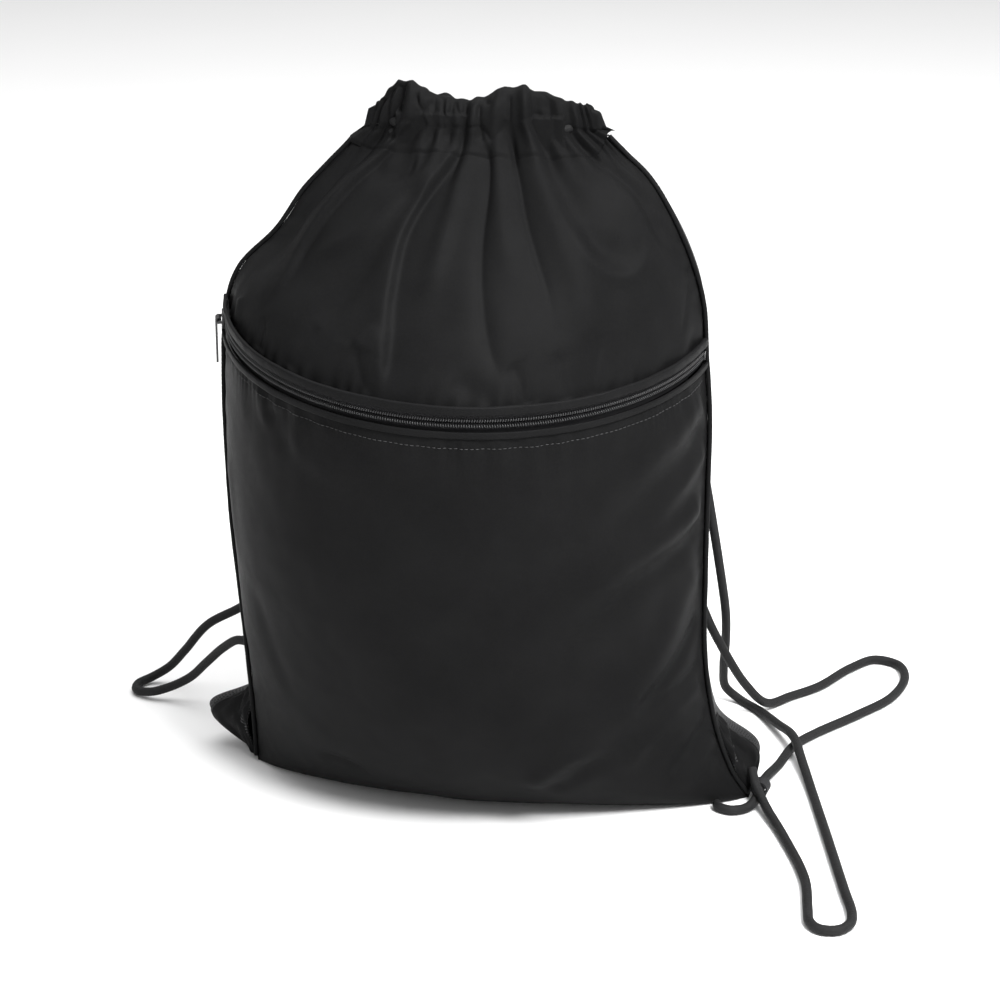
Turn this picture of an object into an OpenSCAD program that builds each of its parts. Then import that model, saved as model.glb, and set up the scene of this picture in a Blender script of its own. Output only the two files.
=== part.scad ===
// Drawstring backpack: a stuffed gym sack that stands on its base.
// The front is satin with a zipped pocket, the back is mesh with satin
// corners, and a doubled cord runs from each end of the gathered neck to a
// loop at each bottom corner. The front faces -Y and the sack stands on z = 0.

/* [Body] */
// Width across the stuffed body, without the zip and piping
body_w = 298; // [290:1:306]
// Height of the neck's rim above the floor
body_h = 438; // [430:1:446]
// Thickness of the fabric panels
panel_t = 1.2; // [1.0:0.1:1.4]
// Diameter of the piping in the side seams
piping_d = 3; // [2.4:0.2:3.4]

/* [Zip] */
// Height of the zip's ends above the floor
zip_z = 301; // [296:1:306]
// How far the zip's plane leans, in degrees, so that its middle hangs lower
zip_lean = 8.5; // [7:0.5:10]
// Height of one coil, across the tape
coil_h = 2; // [1.8:0.1:2.1]
// Width of the slider, across the zip
slider_w = 8.4; // [8.2:0.1:8.6]
// Length of the pull tab
pull_len = 26; // [20:1:34]

/* [Cord] */
// Diameter of the drawcord
cord_d = 6; // [5.6:0.2:6]
// Height of the sewn channel that the cord runs in
channel_h = 26; // [24:1:27]

/* [Hidden] */

satin = [0.09, 0.09, 0.10];
mesh_black = [0.05, 0.05, 0.06];
cord_black = [0.12, 0.12, 0.12];
zip_black = [0.03, 0.03, 0.03];

// The middle of the sack's footprint in the layout below.
centre = [7.5, -18.5, 0];

scale_w = body_w / 298;
scale_h = body_h / 438;

// Half the angle that the front panels sweep, from seam to seam.
sweep = 80;
// How square the back is in plan: 2 is an ellipse.
squareness = 3;

zip_half_w = 146 * scale_w;
zip_shift = -1;
// The zip's plane also drops a little towards +X.
zip_skew = 0.044;
zip_r = zip_half_w / sin(sweep);
zip_rise = zip_r * (1 - cos(sweep));

// One row for each level of the sack, from the bottom seam to the rim:
// height, shift in x, half width, seam's y, front depth, sag of the front's
// middle, back depth, and drop per unit of x.
LEVELS = [
    [0, 20, 160, 8, 0, 0, 0, 0],
    [0, 20, 159, 8, 22, 0, 40, 0],
    [4, 19, 158, 7, 38, 1, 58, 0],
    [20, 14, 153, 5, 55, 6, 72, 0],
    [55, 8, 148, 2, 76, 13, 80, 0.01],
    [103, 3, 146, 0, 95, 18, 84, 0.02],
    [160, 0, 148, 0, 109, 21, 86, 0.032],
    [213, -1, 149, 0, 117, 22, 88, 0.04],
    [260, -1, 149, 0, 121, 20, 88, 0.044],
    [zip_z, zip_shift, 146, 0, zip_rise * cos(zip_lean), zip_rise * sin(zip_lean), 85, zip_skew],
    [330, 2.5, 140, 0, 108, 15, 78, 0.034],
    [356, 10, 124, 0, 88, 11, 66, 0.022],
    [382, 12, 109, 0, 64, 7, 50, 0.01],
    [400, 13.5, 95, 0, 42, 4, 36, 0],
    [413, 13, 82, 0, 24, 2, 22, 0],
    [425, 12, 71, 0, 17, 1, 17, 0],
    [438, 11, 61, 0, 16, 1, 16, 0]
];
level_scale = [scale_h, 1, scale_w, 1, 1, 1, 1, 1];
last_level = len(LEVELS) - 1;
zip_level = 9;
neck_level = 14;

function unit(v) = v / norm(v);

// A smooth curve through four rows, at t from 0 to 1 between the middle two.
function blend4(a, b, c, d, t) =
    0.5 * (2 * b + (c - a) * t + (2 * a - 5 * b + 4 * c - d) * t * t + (3 * b - a - 3 * c + d) * t * t * t);

function level(v) =
    let (
        i = min(max(floor(v), 0), last_level - 1),
        row = blend4(LEVELS[max(i - 1, 0)], LEVELS[i], LEVELS[i + 1], LEVELS[min(i + 2, last_level)], v - i)
    )
    [for (k = [0:7]) row[k] * level_scale[k]];

// The front at level v: u runs from -1 at the left seam to 1 at the right.
function front_at(u, v) =
    let (
        q = level(v),
        bulge = (cos(sweep * u) - cos(sweep)) / (1 - cos(sweep)),
        x = q[2] * sin(sweep * u) / sin(sweep)
    )
    [x + q[1], q[3] - q[4] * bulge, max(q[0] - q[5] * bulge - q[7] * x, 0)];

// The back at level v: w runs from 1 at the right seam to -1 at the left.
function back_at(w, v) =
    let (
        q = level(v),
        angle = 90 * (1 - w),
        c = cos(angle),
        s = max(sin(angle), 0),
        k = pow(pow(abs(c), squareness) + pow(s, squareness), -1 / squareness),
        x = q[2] * c * k,
        near_seam = exp(-pow((angle > 90 ? 180 - angle : angle) - 18, 2) / 160),
        ear = 34 * min(v, 1) * exp(-pow((q[0] - 24) / 17, 2)) * near_seam,
        side = c < 0 ? -1.25 : 0.55
    )
    [x + q[1] + side * ear, q[3] + q[6] * s * k + 0.3 * ear, max(q[0] - q[7] * x, 0)];

// Outward directions. The base, below level 1, is flat, and the direction
// turns from straight down to the wall's own between levels 1 and 2.
step = 0.01;
function off_floor(v, out) =
    let (share = min(v - 1, 1))
    unit(share * out + (1 - share) * [0, 0, -1]);
function front_out(u, v) =
    v <= 1 ? [0, 0, -1] : let (
        v0 = min(v, last_level - step),
        along = front_at(u + step, v0) - front_at(u - step, v0),
        up = front_at(u, v0 + step) - front_at(u, v0)
    )
    off_floor(v, unit(cross(along, up)));
function back_out(w, v) =
    v <= 1 ? [0, 0, -1] : let (
        v0 = min(v, last_level - step),
        w0 = min(max(w, -0.98), 0.98),
        along = back_at(w0 - step, v0) - back_at(w0 + step, v0),
        up = back_at(w0, v0 + step) - back_at(w0, v0)
    )
    off_floor(v, unit(cross(along, up)));

function front_layer(us, vs, depth) =
    [for (v = vs) [for (u = us) front_at(u, v) - depth * front_out(u, v)]];
function back_layer(ws, vs, depth) =
    [for (v = vs) [for (w = ws) back_at(w, v) - depth * back_out(w, v)]];

function spaced(first, last, steps) = [for (i = [0:steps]) first + (last - first) * i / steps];

// A closed sheet between an outer and an inner grid of points.
module sheet(outer, inner) {
    rows = len(outer);
    cols = len(outer[0]);
    total = rows * cols;
    points = concat([for (row = outer) each row], [for (row = inner) each row]);
    function at(i, j) = i * cols + j;
    faces = concat(
        [for (i = [0:rows - 2], j = [0:cols - 2]) each [
            [at(i, j), at(i + 1, j + 1), at(i, j + 1)],
            [at(i, j), at(i + 1, j), at(i + 1, j + 1)]]],
        [for (i = [0:rows - 2], j = [0:cols - 2]) each [
            [total + at(i, j), total + at(i, j + 1), total + at(i + 1, j + 1)],
            [total + at(i, j), total + at(i + 1, j + 1), total + at(i + 1, j)]]],
        [for (j = [0:cols - 2]) each [
            [at(0, j), at(0, j + 1), total + at(0, j + 1)],
            [at(0, j), total + at(0, j + 1), total + at(0, j)],
            [at(rows - 1, j), total + at(rows - 1, j + 1), at(rows - 1, j + 1)],
            [at(rows - 1, j), total + at(rows - 1, j), total + at(rows - 1, j + 1)]]],
        [for (i = [0:rows - 2]) each [
            [at(i, 0), total + at(i + 1, 0), at(i + 1, 0)],
            [at(i, 0), total + at(i, 0), total + at(i + 1, 0)],
            [at(i, cols - 1), at(i + 1, cols - 1), total + at(i + 1, cols - 1)],
            [at(i, cols - 1), total + at(i + 1, cols - 1), total + at(i, cols - 1)]]]
    );
    polyhedron(points, faces);
}

function tangents(path) =
    let (last = len(path) - 1)
    [for (i = [0:last]) unit(path[min(i + 1, last)] - path[max(i - 1, 0)])];
function any_side(t) = unit(cross(t, abs(t[2]) < 0.9 ? [0, 0, 1] : [1, 0, 0]));
function sides(ts) =
    [for (i = 0, n = any_side(ts[0]); i < len(ts);
        i = i + 1, n = i < len(ts) ? unit(n - (n * ts[i]) * ts[i]) : n) n];

// A tube of one section, given as [side, up] points, swept along a path.
module sweep_section(path, section) {
    ts = tangents(path);
    ns = sides(ts);
    m = len(section);
    last = len(path) - 1;
    points = [for (i = [0:last], p = section) path[i] + p[0] * ns[i] + p[1] * cross(ts[i], ns[i])];
    faces = concat(
        [for (i = [0:last - 1], j = [0:m - 1]) each [
            [i * m + j, (i + 1) * m + j, (i + 1) * m + (j + 1) % m],
            [i * m + j, (i + 1) * m + (j + 1) % m, i * m + (j + 1) % m]]],
        [[for (j = [0:m - 1]) j]],
        [[for (j = [m - 1:-1:0]) last * m + j]]
    );
    polyhedron(points, faces);
}
function ring(r, count) = [for (j = [0:count - 1]) r * [cos(360 * j / count), sin(360 * j / count)]];

module placed() {
    translate(-centre) children();
}

// ---- Zip frame: z is the normal of the zip's plane, the arc faces -Y ----
zip_centre = [zip_shift, zip_r * cos(sweep) * cos(zip_lean), zip_z * scale_h + zip_r * cos(sweep) * sin(zip_lean)];
zip_turn = [zip_lean, atan(zip_skew), 0];
module in_zip_frame() {
    translate(zip_centre) rotate(zip_turn) children();
}
// A strip along the zip: radii and heights in the zip frame, and the angles
// from the middle of the front at which it starts and ends.
module zip_strip(r0, r1, h0, h1, from, to) {
    in_zip_frame()
        rotate([0, 0, from - 90])
            rotate_extrude(angle = to - from, $fn = 180)
                translate([zip_r + r0, h0]) square([r1 - r0, h1 - h0]);
}

gap = 0.4;
coil_gap = 0.7;
coil_out = 1.9;
tape_w = 5.6;
tape_in = 0.9;
slider_rest = -74;
slider_arc = 4.4;
slider_half = slider_w / 2;
stop_arc = 0.7;
zip_end = 79;

// ---- Panels ----
panel_us = spaced(-0.99, 0.99, 22);
module front_yoke() {
    // The lowest row is level with the tape's upper edge.
    vs = concat([zip_level + 0.2], spaced(zip_level + 0.6, neck_level + 0.1, 9));
    color(satin) placed()
        sheet(front_layer(panel_us, vs, 0.2), front_layer(panel_us, vs, 0.2 + panel_t));
}
module pocket_panel() {
    vs = concat([0, 0.5, 1, 1.5, 2, 2.5], spaced(3, zip_level - 0.175, 9));
    color(satin) placed()
        sheet(front_layer(panel_us, vs, 0), front_layer(panel_us, vs, panel_t));
}
backing_depth = 4.4;
module pocket_backing() {
    us = spaced(-0.92, 0.92, 16);
    vs = concat([0, 1, 2], spaced(3, zip_level + 0.1, 7));
    color(satin) placed()
        sheet(front_layer(us, vs, backing_depth), front_layer(us, vs, backing_depth + panel_t));
}
module back_mesh() {
    near_seam = [0.984, 0.955, 0.925, 0.895, 0.865, 0.835, 0.8, 0.76, 0.72, 0.67];
    ws = concat(near_seam, spaced(0.58, -0.58, 10), [for (i = [1:len(near_seam)]) -near_seam[len(near_seam) - i]]);
    vs = concat([0, 0.6, 1.2, 1.6, 2, 2.3, 2.6, 3, 3.3, 3.6, 4, 5], spaced(6, neck_level + 0.1, 9));
    color(mesh_black) placed()
        sheet(back_layer(ws, vs, 0), back_layer(ws, vs, panel_t));
}
// A satin triangle sewn over the mesh at a bottom corner.
module corner_patch(side) {
    patch_gap = 1.3;
    vs = [1.95, 2.2, 2.5, 2.8, 3.1, 3.4, 3.7, 4];
    patch_at = function (s, v, depth)
        let (w = side * (0.975 - s * (0.3 - 0.055 * v)))
        back_at(w, v) - depth * back_out(w, v);
    rows = function (depth) [for (v = vs) [for (s = side > 0 ? spaced(0, 1, 8) : spaced(-1, 0, 8)) patch_at(abs(s), v, depth)]];
    color(satin) placed()
        sheet(rows(-patch_gap - panel_t), rows(-patch_gap));
}
module corner_patch_left() {
    corner_patch(-1);
}
module corner_patch_right() {
    corner_patch(1);
}

// ---- Sewn channel round the neck, open at both side seams ----
channel_mid = body_h - channel_h / 2;
channel_t = 9.8;
channel_outer = [for (a = [0:30:330]) [
    channel_h / 2 * cos(a) * (1 + 0.1 * pow(sin(2 * a), 2)),
    channel_t / 2 * sin(a) * (1 + 0.1 * pow(sin(2 * a), 2))]];
neck = level(last_level - 0.5);
// The middle of the drawn-in neck, and the channel's half width there.
neck_x = 11 * scale_w;
neck_half_w = 61.5 * scale_w;
// The channel's middle line: its y at a distance x from the neck's middle.
function channel_y(x, back) =
    let (depth = pow(max(1 - pow(abs(x / neck_half_w), 3), 0), 1 / 3))
    back ? neck[6] * depth - channel_t / 2 : channel_t / 2 - neck[4] * depth;
function channel_path(half, back) =
    [for (x = spaced(-half, half, 12)) [x + neck_x, channel_y(x, back), channel_mid]];
// The channel's wall, with its tunnel: a flat oval that holds two cords.
module channel(path) {
    m = len(channel_outer);
    last = len(path) - 1;
    tunnel = [for (a = [0:30:330]) [(cord_d + 0.8) * cos(a), (cord_d / 2 + 1.1) * sin(a)]];
    ts = [for (t = tangents(path)) unit([t[0], t[1], 0])];
    function place(i, p) = path[i] + [0, 0, p[0]] + p[1] * cross(ts[i], [0, 0, 1]);
    points = concat(
        [for (i = [0:last], p = channel_outer) place(i, p)],
        [for (i = [0:last], p = tunnel) place(i, p)]);
    n = (last + 1) * m;
    faces = concat(
        [for (i = [0:last - 1], j = [0:m - 1]) each [
            [i * m + j, (i + 1) * m + j, (i + 1) * m + (j + 1) % m],
            [i * m + j, (i + 1) * m + (j + 1) % m, i * m + (j + 1) % m]]],
        [for (i = [0:last - 1], j = [0:m - 1]) each [
            [n + i * m + j, n + (i + 1) * m + (j + 1) % m, n + (i + 1) * m + j],
            [n + i * m + j, n + i * m + (j + 1) % m, n + (i + 1) * m + (j + 1) % m]]],
        [for (j = [0:m - 1]) each [
            [j, n + (j + 1) % m, n + j],
            [j, (j + 1) % m, n + (j + 1) % m],
            [last * m + j, n + last * m + j, n + last * m + (j + 1) % m],
            [last * m + j, n + last * m + (j + 1) % m, last * m + (j + 1) % m]]]
    );
    polyhedron(points, faces);
}
module channel_front() {
    color(satin) placed() channel(channel_path(47, false));
}
module channel_back() {
    color(satin) placed() channel(channel_path(43, true));
}

// ---- Seams ----
function seam(side) =
    [for (v = concat([2, 2.5, 3, 3.5], spaced(4, neck_level + 0.2, 22)))
        front_at(side, v) + side * [piping_d / 2 + 0.1, 0, 0]];
module piping_left() {
    color(satin) placed() sweep_section(seam(-1), ring(piping_d / 2, 8));
}
module piping_right() {
    color(satin) placed() sweep_section(seam(1), ring(piping_d / 2, 8));
}
// The tape that binds the bottom seam's raw edge, inside the sack.
module bottom_binding() {
    binding_w = 270;
    binding_h = 9;
    binding_t = 2.4;
    color(satin) placed()
        translate([20 - binding_w / 2, 8 - binding_t / 2, backing_depth + panel_t + 0.6])
            cube([binding_w, binding_t, binding_h]);
}

// ---- Zip ----
module zip_welt() {
    // A folded strip whose outer edge is round.
    welt_h = 5.8;
    welt_t = 2.6;
    low = slider_half + gap + 0.4;
    color(satin) placed() in_zip_frame()
        rotate([0, 0, -zip_end - 90])
            rotate_extrude(angle = 2 * zip_end, $fn = 180)
                translate([zip_r + 0.1, low])
                    union() {
                        square([welt_t / 2, welt_h]);
                        translate([welt_t / 2 - 0.01, welt_t / 2]) square([welt_t / 2, welt_h - welt_t]);
                        translate([welt_t / 2, welt_t / 2]) circle(welt_t / 2, $fn = 24);
                        translate([welt_t / 2, welt_h - welt_t / 2]) circle(welt_t / 2, $fn = 24);
                    }
}
module pocket_hem() {
    hem_h = 4.2;
    hem_t = 1.4;
    hem_out = 2.5;
    color(satin) placed()
        zip_strip(hem_out, hem_out + hem_t, -slider_half - gap - hem_h, -slider_half - gap, -zip_end, zip_end);
}
module zip_tape_upper() {
    color(zip_black) placed() zip_strip(-tape_in, -0.1, coil_gap, coil_gap + tape_w, -zip_end, zip_end);
}
module zip_tape_lower() {
    color(zip_black) placed() zip_strip(-tape_in, -0.1, -coil_gap - tape_w, -coil_gap, -zip_end, zip_end);
}
coil_end = zip_end - 1;
module zip_coil_upper() {
    color(zip_black) placed() zip_strip(0, coil_out, coil_gap, coil_gap + coil_h, -coil_end, coil_end);
}
module zip_coil_lower() {
    color(zip_black) placed() zip_strip(0, coil_out, -coil_gap - coil_h, -coil_gap, -coil_end, coil_end);
}
// Each stop is a cap on the end of a coil.
stop_from = coil_end + 0.05;
module top_stop_upper() {
    color(zip_black) placed()
        zip_strip(0, coil_out + 0.4, coil_gap, coil_gap + coil_h, -stop_from - stop_arc, -stop_from);
}
module top_stop_lower() {
    color(zip_black) placed()
        zip_strip(0, coil_out + 0.4, -coil_gap - coil_h, -coil_gap, -stop_from - stop_arc, -stop_from);
}
module bottom_stop() {
    color(zip_black) placed()
        zip_strip(0, coil_out + 0.4, -coil_gap - coil_h, coil_gap + coil_h, stop_from, stop_from + stop_arc);
}
slider_top = coil_out + gap;
plate_t = 1.2;
flange_t = 1.1;
post_half = 0.3;
bridge_r = 0.7;
bridge_out = slider_top + plate_t + 2.2;
module zip_slider() {
    from = slider_rest - slider_arc / 2;
    to = slider_rest + slider_arc / 2;
    post_from = slider_rest - 0.5;
    post_to = slider_rest + 0.5;
    post_arc = 0.5;
    color(zip_black) placed() {
        // The plate over the coils and the plate behind the tapes.
        zip_strip(slider_top, slider_top + plate_t, -slider_half, slider_half, from, to);
        zip_strip(-tape_in - gap - plate_t, -tape_in - gap, -slider_half + 0.6, slider_half - 0.6, from, to);
        // The flanges that close round the coils.
        zip_strip(0.4, slider_top, slider_half - flange_t, slider_half, from, to);
        zip_strip(0.4, slider_top, -slider_half, -slider_half + flange_t, from, to);
        // The post that joins the plates through the slit.
        zip_strip(-tape_in - gap - 0.1, slider_top + 0.1, -post_half, post_half, post_from, post_to);
        // The bridge that the pull hangs on.
        for (end = [from, to - post_arc])
            zip_strip(slider_top + plate_t - 0.1, bridge_out, -0.7, 0.7, end, end + post_arc);
        in_zip_frame() rotate([0, 0, slider_rest])
            translate([0, -zip_r - bridge_out, 0])
                rotate([0, 90, 0]) cylinder(r = bridge_r, h = bridge_len, center = true, $fn = 24);
    }
}
bridge_len = 2 * (zip_r + bridge_out) * tan(slider_arc / 2) + 0.4;
pull_w = 6;
pull_t = 1.4;
eye_r = bridge_r + gap;
// The pull hangs from the bridge: an eye, then a flat tab with a round end.
module zip_pull() {
    color(zip_black) placed() in_zip_frame() rotate([0, 0, slider_rest])
        translate([0, -zip_r - bridge_out, 0])
            difference() {
                union() {
                    rotate([0, 90, 0]) cylinder(r = eye_r + 0.8, h = pull_w, center = true, $fn = 32);
                    translate([-pull_w / 2, -eye_r - 0.8, -pull_len]) cube([pull_w, pull_t, pull_len]);
                    translate([0, -eye_r - 0.8 + pull_t, -pull_len])
                        rotate([90, 0, 0]) cylinder(r = pull_w / 2, h = pull_t, $fn = 32);
                }
                rotate([0, 90, 0]) cylinder(r = eye_r, h = pull_w + 2, center = true, $fn = 32);
            }
}

// ---- Webbing loops at the bottom corners ----
loop_r = cord_d / 2 + 1.2;
loop_w = 9;
loop_t = 1.2;
module corner_loop(x, y, turn) {
    color(satin) placed() translate([x, y, loop_r + loop_t + 0.4]) rotate([90, 0, turn])
        difference() {
            cylinder(r = loop_r + loop_t, h = loop_w, center = true, $fn = 40);
            cylinder(r = loop_r, h = loop_w + 2, center = true, $fn = 40);
        }
}
module corner_loop_left() {
    corner_loop(-148, 51.5, 10);
}
module corner_loop_right() {
    corner_loop(187, 12, -10);
}

// ---- Drawcords: two, each doubled from the neck to a bottom corner ----
// The part of each cord that lies in the channel, out at one end of the neck,
// round the other end and back.
RUN = concat(
    [for (x = [44, 34, 22, 8, -8, -22, -34, -44]) [x, channel_y(x, false)]],
    [[-52, -4.5], [-52, 3.5]],
    [for (x = [-44, -34, -22, -8, 8, 22, 36]) [x, channel_y(x, true)]]
);
module run(side, z) {
    color(cord_black) placed()
        sweep_section([for (p = RUN) [neck_x + side * p[0], p[1], z]], ring(cord_d / 2, 8));
}
run_high = channel_mid + cord_d / 2 + 0.2;
run_low = channel_mid - cord_d / 2 - 0.2;
module cord_right_run() {
    run(1, run_high);
}
module cord_left_run() {
    run(-1, run_low);
}
module strand(route) {
    color(cord_black) placed() sweep_section(route, ring(cord_d / 2, 8));
}

RIGHT_A = [
    [55, -9.3, 428.2], [61, -7.8, 428.2], [65.5, -3, 428.2], [68, 5, 427], [70, 14, 423.5],
    [72.5, 24, 416.5], [77, 36, 403], [84, 47, 388], [95, 60, 365], [108, 76, 334], [116, 88, 300],
    [124, 96, 250], [136, 100, 190], [150, 101, 112], [153, 110, 82], [152, 126, 54], [150, 140, 30],
    [151, 152, 11], [160, 152, 3.4], [176, 134, 3.2], [190, 108, 6.5], [202, 82, 10.4], [210, 54, 6.5],
    [218, 22, 3.2], [232, -42, 3.2], [247, -112, 3.2], [253, -140, 3.2], [252.5, -153, 3.2],
    [246, -161.5, 3.2], [236, -162, 3.2], [229.5, -154, 3.2], [227.5, -140, 3.2], [223, -102, 3.2],
    [206, -48, 3.2], [192, -14, 6], [184, 4, 12], [181, 12, 18]
];
RIGHT_B = [
    [47, 10.4, 428.2], [54, 9.4, 428.2], [59.5, 11.2, 428], [62.5, 17, 427], [64, 25, 422.5],
    [67, 36, 409.5], [74, 51, 389], [86, 69, 360], [98, 84, 320], [106, 94, 270], [114, 99, 200],
    [128, 104, 120], [141, 104, 82], [152, 108, 58], [166, 122, 28], [180, 142, 6], [194, 162, 3.2],
    [212, 182, 3.2], [232, 218, 3.2], [248, 236, 3.2], [264, 230, 3.2], [270, 208, 3.2], [262, 172, 3.2],
    [240, 138, 3.2], [216, 106, 3.2], [203, 84, 3.2], [195, 52, 3.2], [189, 28, 5.4], [187, 12, 6.2],
    [185, -4, 4.5], [180, -14, 3.2], [171, -18.5, 3.2], [163, -15, 3.2], [161.5, -10.5, 3.2]
];
LEFT_A = [
    [-33, -9.3, 421.8], [-39, -7.8, 421.8], [-43.5, -3, 421.8], [-46, 5, 421.4], [-47.5, 14, 419.6],
    [-50, 24, 414.8], [-54, 35, 405], [-61, 48, 388], [-70, 60, 370], [-81, 71.5, 349], [-94, 83, 318],
    [-104, 94, 276], [-112, 98, 220], [-124, 103, 150], [-144, 106, 96], [-172, 106, 68],
    [-200, 108, 50], [-218, 112, 28], [-231, 116, 13], [-243, 115, 5], [-250.5, 106, 3.2],
    [-248, 94.5, 3.4], [-236, 89, 5.5], [-224, 89, 9.5], [-208, 87, 19], [-193, 79, 35], [-178, 69, 51],
    [-165, 60, 61], [-153, 53.5, 61], [-145.5, 52, 52.5], [-143.5, 54.5, 40], [-146, 57.5, 25],
    [-148, 58, 12.5]
];
LEFT_B = [
    [-25, 10.4, 421.8], [-32, 9.4, 421.8], [-37.5, 11.2, 421.8], [-40.5, 17, 420.8], [-42, 25, 416.8],
    [-45, 37, 404], [-53, 54.5, 382], [-65, 73, 350], [-78, 88, 306], [-84, 97, 250], [-88, 100, 160],
    [-88, 104, 80], [-82, 116, 34], [-66, 136, 8], [-30, 156, 3.2], [10, 166, 3.2], [38, 178, 3.2],
    [48, 196, 3.2], [32, 212, 3.2], [0, 218, 3.2], [-50, 210, 3.2], [-100, 186, 3.2], [-140, 152, 3.2],
    [-158, 116, 3.2], [-160, 86, 3.2], [-153, 64, 4.8], [-148, 51.5, 6.2]
];
module cord_right_a() {
    strand(RIGHT_A);
}
module cord_right_b() {
    strand(RIGHT_B);
}
module cord_left_a() {
    strand(LEFT_A);
}
module cord_left_b() {
    strand(LEFT_B);
}

front_yoke();
pocket_panel();
pocket_backing();
back_mesh();
corner_patch_left();
corner_patch_right();
channel_front();
channel_back();
piping_left();
piping_right();
bottom_binding();
zip_welt();
pocket_hem();
zip_tape_upper();
zip_tape_lower();
zip_coil_upper();
zip_coil_lower();
top_stop_upper();
top_stop_lower();
bottom_stop();
zip_slider();
zip_pull();
corner_loop_left();
corner_loop_right();
cord_right_run();
cord_right_a();
cord_right_b();
cord_left_run();
cord_left_a();
cord_left_b();
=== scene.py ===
"""Visual model of a stuffed drawstring backpack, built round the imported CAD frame.

Lengths are worked out in millimetres in the sack's own layout, whose origin is
CENTRE away from the frame's, and are turned into metres in the frame at the end.
"""
import math

import bpy
import numpy as np
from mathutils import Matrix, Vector


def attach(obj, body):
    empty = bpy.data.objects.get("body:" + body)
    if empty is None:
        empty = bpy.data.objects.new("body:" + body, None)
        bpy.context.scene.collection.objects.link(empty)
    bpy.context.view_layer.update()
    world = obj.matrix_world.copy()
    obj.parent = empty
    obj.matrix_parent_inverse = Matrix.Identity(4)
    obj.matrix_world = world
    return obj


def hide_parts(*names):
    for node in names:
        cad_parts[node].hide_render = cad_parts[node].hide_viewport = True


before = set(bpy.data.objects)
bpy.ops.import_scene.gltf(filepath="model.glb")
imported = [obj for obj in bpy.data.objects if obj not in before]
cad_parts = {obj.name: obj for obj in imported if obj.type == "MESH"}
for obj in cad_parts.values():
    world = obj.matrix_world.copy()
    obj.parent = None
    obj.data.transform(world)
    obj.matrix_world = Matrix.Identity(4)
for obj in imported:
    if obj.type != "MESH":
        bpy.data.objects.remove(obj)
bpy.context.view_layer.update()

CENTRE = np.array([7.5, -18.5, 0.0])
FINE = 1.0


def metres(points):
    return (np.asarray(points, float) - CENTRE) / 1000


# ---- Camera, lights and floor ----
def look_at(obj, place, target):
    obj.location = place
    obj.rotation_euler = (Vector(target) - Vector(place)).to_track_quat("-Z", "Y").to_euler()


def make_camera():
    azimuth, elevation, distance = math.radians(10), math.radians(20), 1.71
    target = metres([21.5, 0, 193])
    level_part = math.cos(elevation)
    way = np.array([math.sin(azimuth) * level_part, -math.cos(azimuth) * level_part, math.sin(elevation)])
    data = bpy.data.cameras.new("camera")
    data.lens = 100
    data.sensor_width = 36
    camera = bpy.data.objects.new("camera", data)
    bpy.context.scene.collection.objects.link(camera)
    look_at(camera, target + distance * way, target)
    bpy.context.scene.camera = camera


def area_light(name, place, target, size, watts):
    data = bpy.data.lights.new(name, "AREA")
    data.shape = "RECTANGLE"
    data.size, data.size_y = size
    data.energy = watts
    light = bpy.data.objects.new(name, data)
    bpy.context.scene.collection.objects.link(light)
    look_at(light, place, target)


make_camera()

# ---- Mesh helpers ----
ROOT = "sack"


def finish_piece(obj, body, material, replaces=()):
    obj.data.materials.append(material)
    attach(obj, body)
    if replaces:
        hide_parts(*replaces)
    return obj


def new_mesh(name, points, faces, weave=None):
    """A smooth mesh from points in mm and faces of one size; weave is an optional
    point attribute that holds where each point is on the flat cloth, in mm."""
    points, faces = metres(points), np.asarray(faces, np.int64)
    mesh = bpy.data.meshes.new(name)
    mesh.vertices.add(len(points))
    mesh.vertices.foreach_set("co", points.astype(np.float32).ravel())
    mesh.loops.add(faces.size)
    mesh.loops.foreach_set("vertex_index", faces.astype(np.int32).ravel())
    mesh.polygons.add(len(faces))
    mesh.polygons.foreach_set("loop_start", (np.arange(len(faces)) * faces.shape[1]).astype(np.int32))
    mesh.polygons.foreach_set("use_smooth", np.ones(len(faces), bool))
    mesh.update(calc_edges=True)
    if weave is not None:
        layer = mesh.attributes.new("weave", "FLOAT_VECTOR", "POINT")
        flat = np.zeros((len(points), 3), np.float32)
        flat[:, : weave.shape[1]] = weave
        layer.data.foreach_set("vector", flat.ravel())
    obj = bpy.data.objects.new(name, mesh)
    bpy.context.scene.collection.objects.link(obj)
    return obj


def grid_faces(rows, cols, wrap_cols=False):
    i, j = np.meshgrid(np.arange(rows - 1), np.arange(cols if wrap_cols else cols - 1), indexing="ij")
    i, j = i.ravel(), j.ravel()
    i1, j1 = (i + 1) % rows, (j + 1) % cols
    return np.stack([i * cols + j, i * cols + j1, i1 * cols + j1, i1 * cols + j], 1)


def tube_faces(rows, ring, start=0):
    """Faces of a tube of rows rings, closed on a middle point at each end. The two
    middle points come after the tube's own, which begin at start."""
    j = np.arange(0, ring - ring % 2, 2)
    j1, j2 = (j + 1) % ring, (j + 2) % ring
    total, end = rows * ring, (rows - 1) * ring
    first = np.stack([np.full(len(j), total), j2, j1, j], 1)
    last = np.stack([np.full(len(j), total + 1), end + j, end + j1, end + j2], 1)
    return np.concatenate([grid_faces(rows, ring, wrap_cols=True), first, last]) + start


def rod_points(base, aside, outward, thick, sides):
    """Points of a short rod along base, for tube_faces; thick is one radius or one each."""
    a = np.arange(sides) * 2 * np.pi / sides
    round_it = np.cos(a)[None, :, None] * aside[:, None] + np.sin(a)[None, :, None] * outward[:, None]
    ring = base[:, None] + np.reshape(thick, (-1, 1, 1)) * round_it
    return np.concatenate([ring.reshape(-1, 3), base[[0, -1]]])


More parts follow.
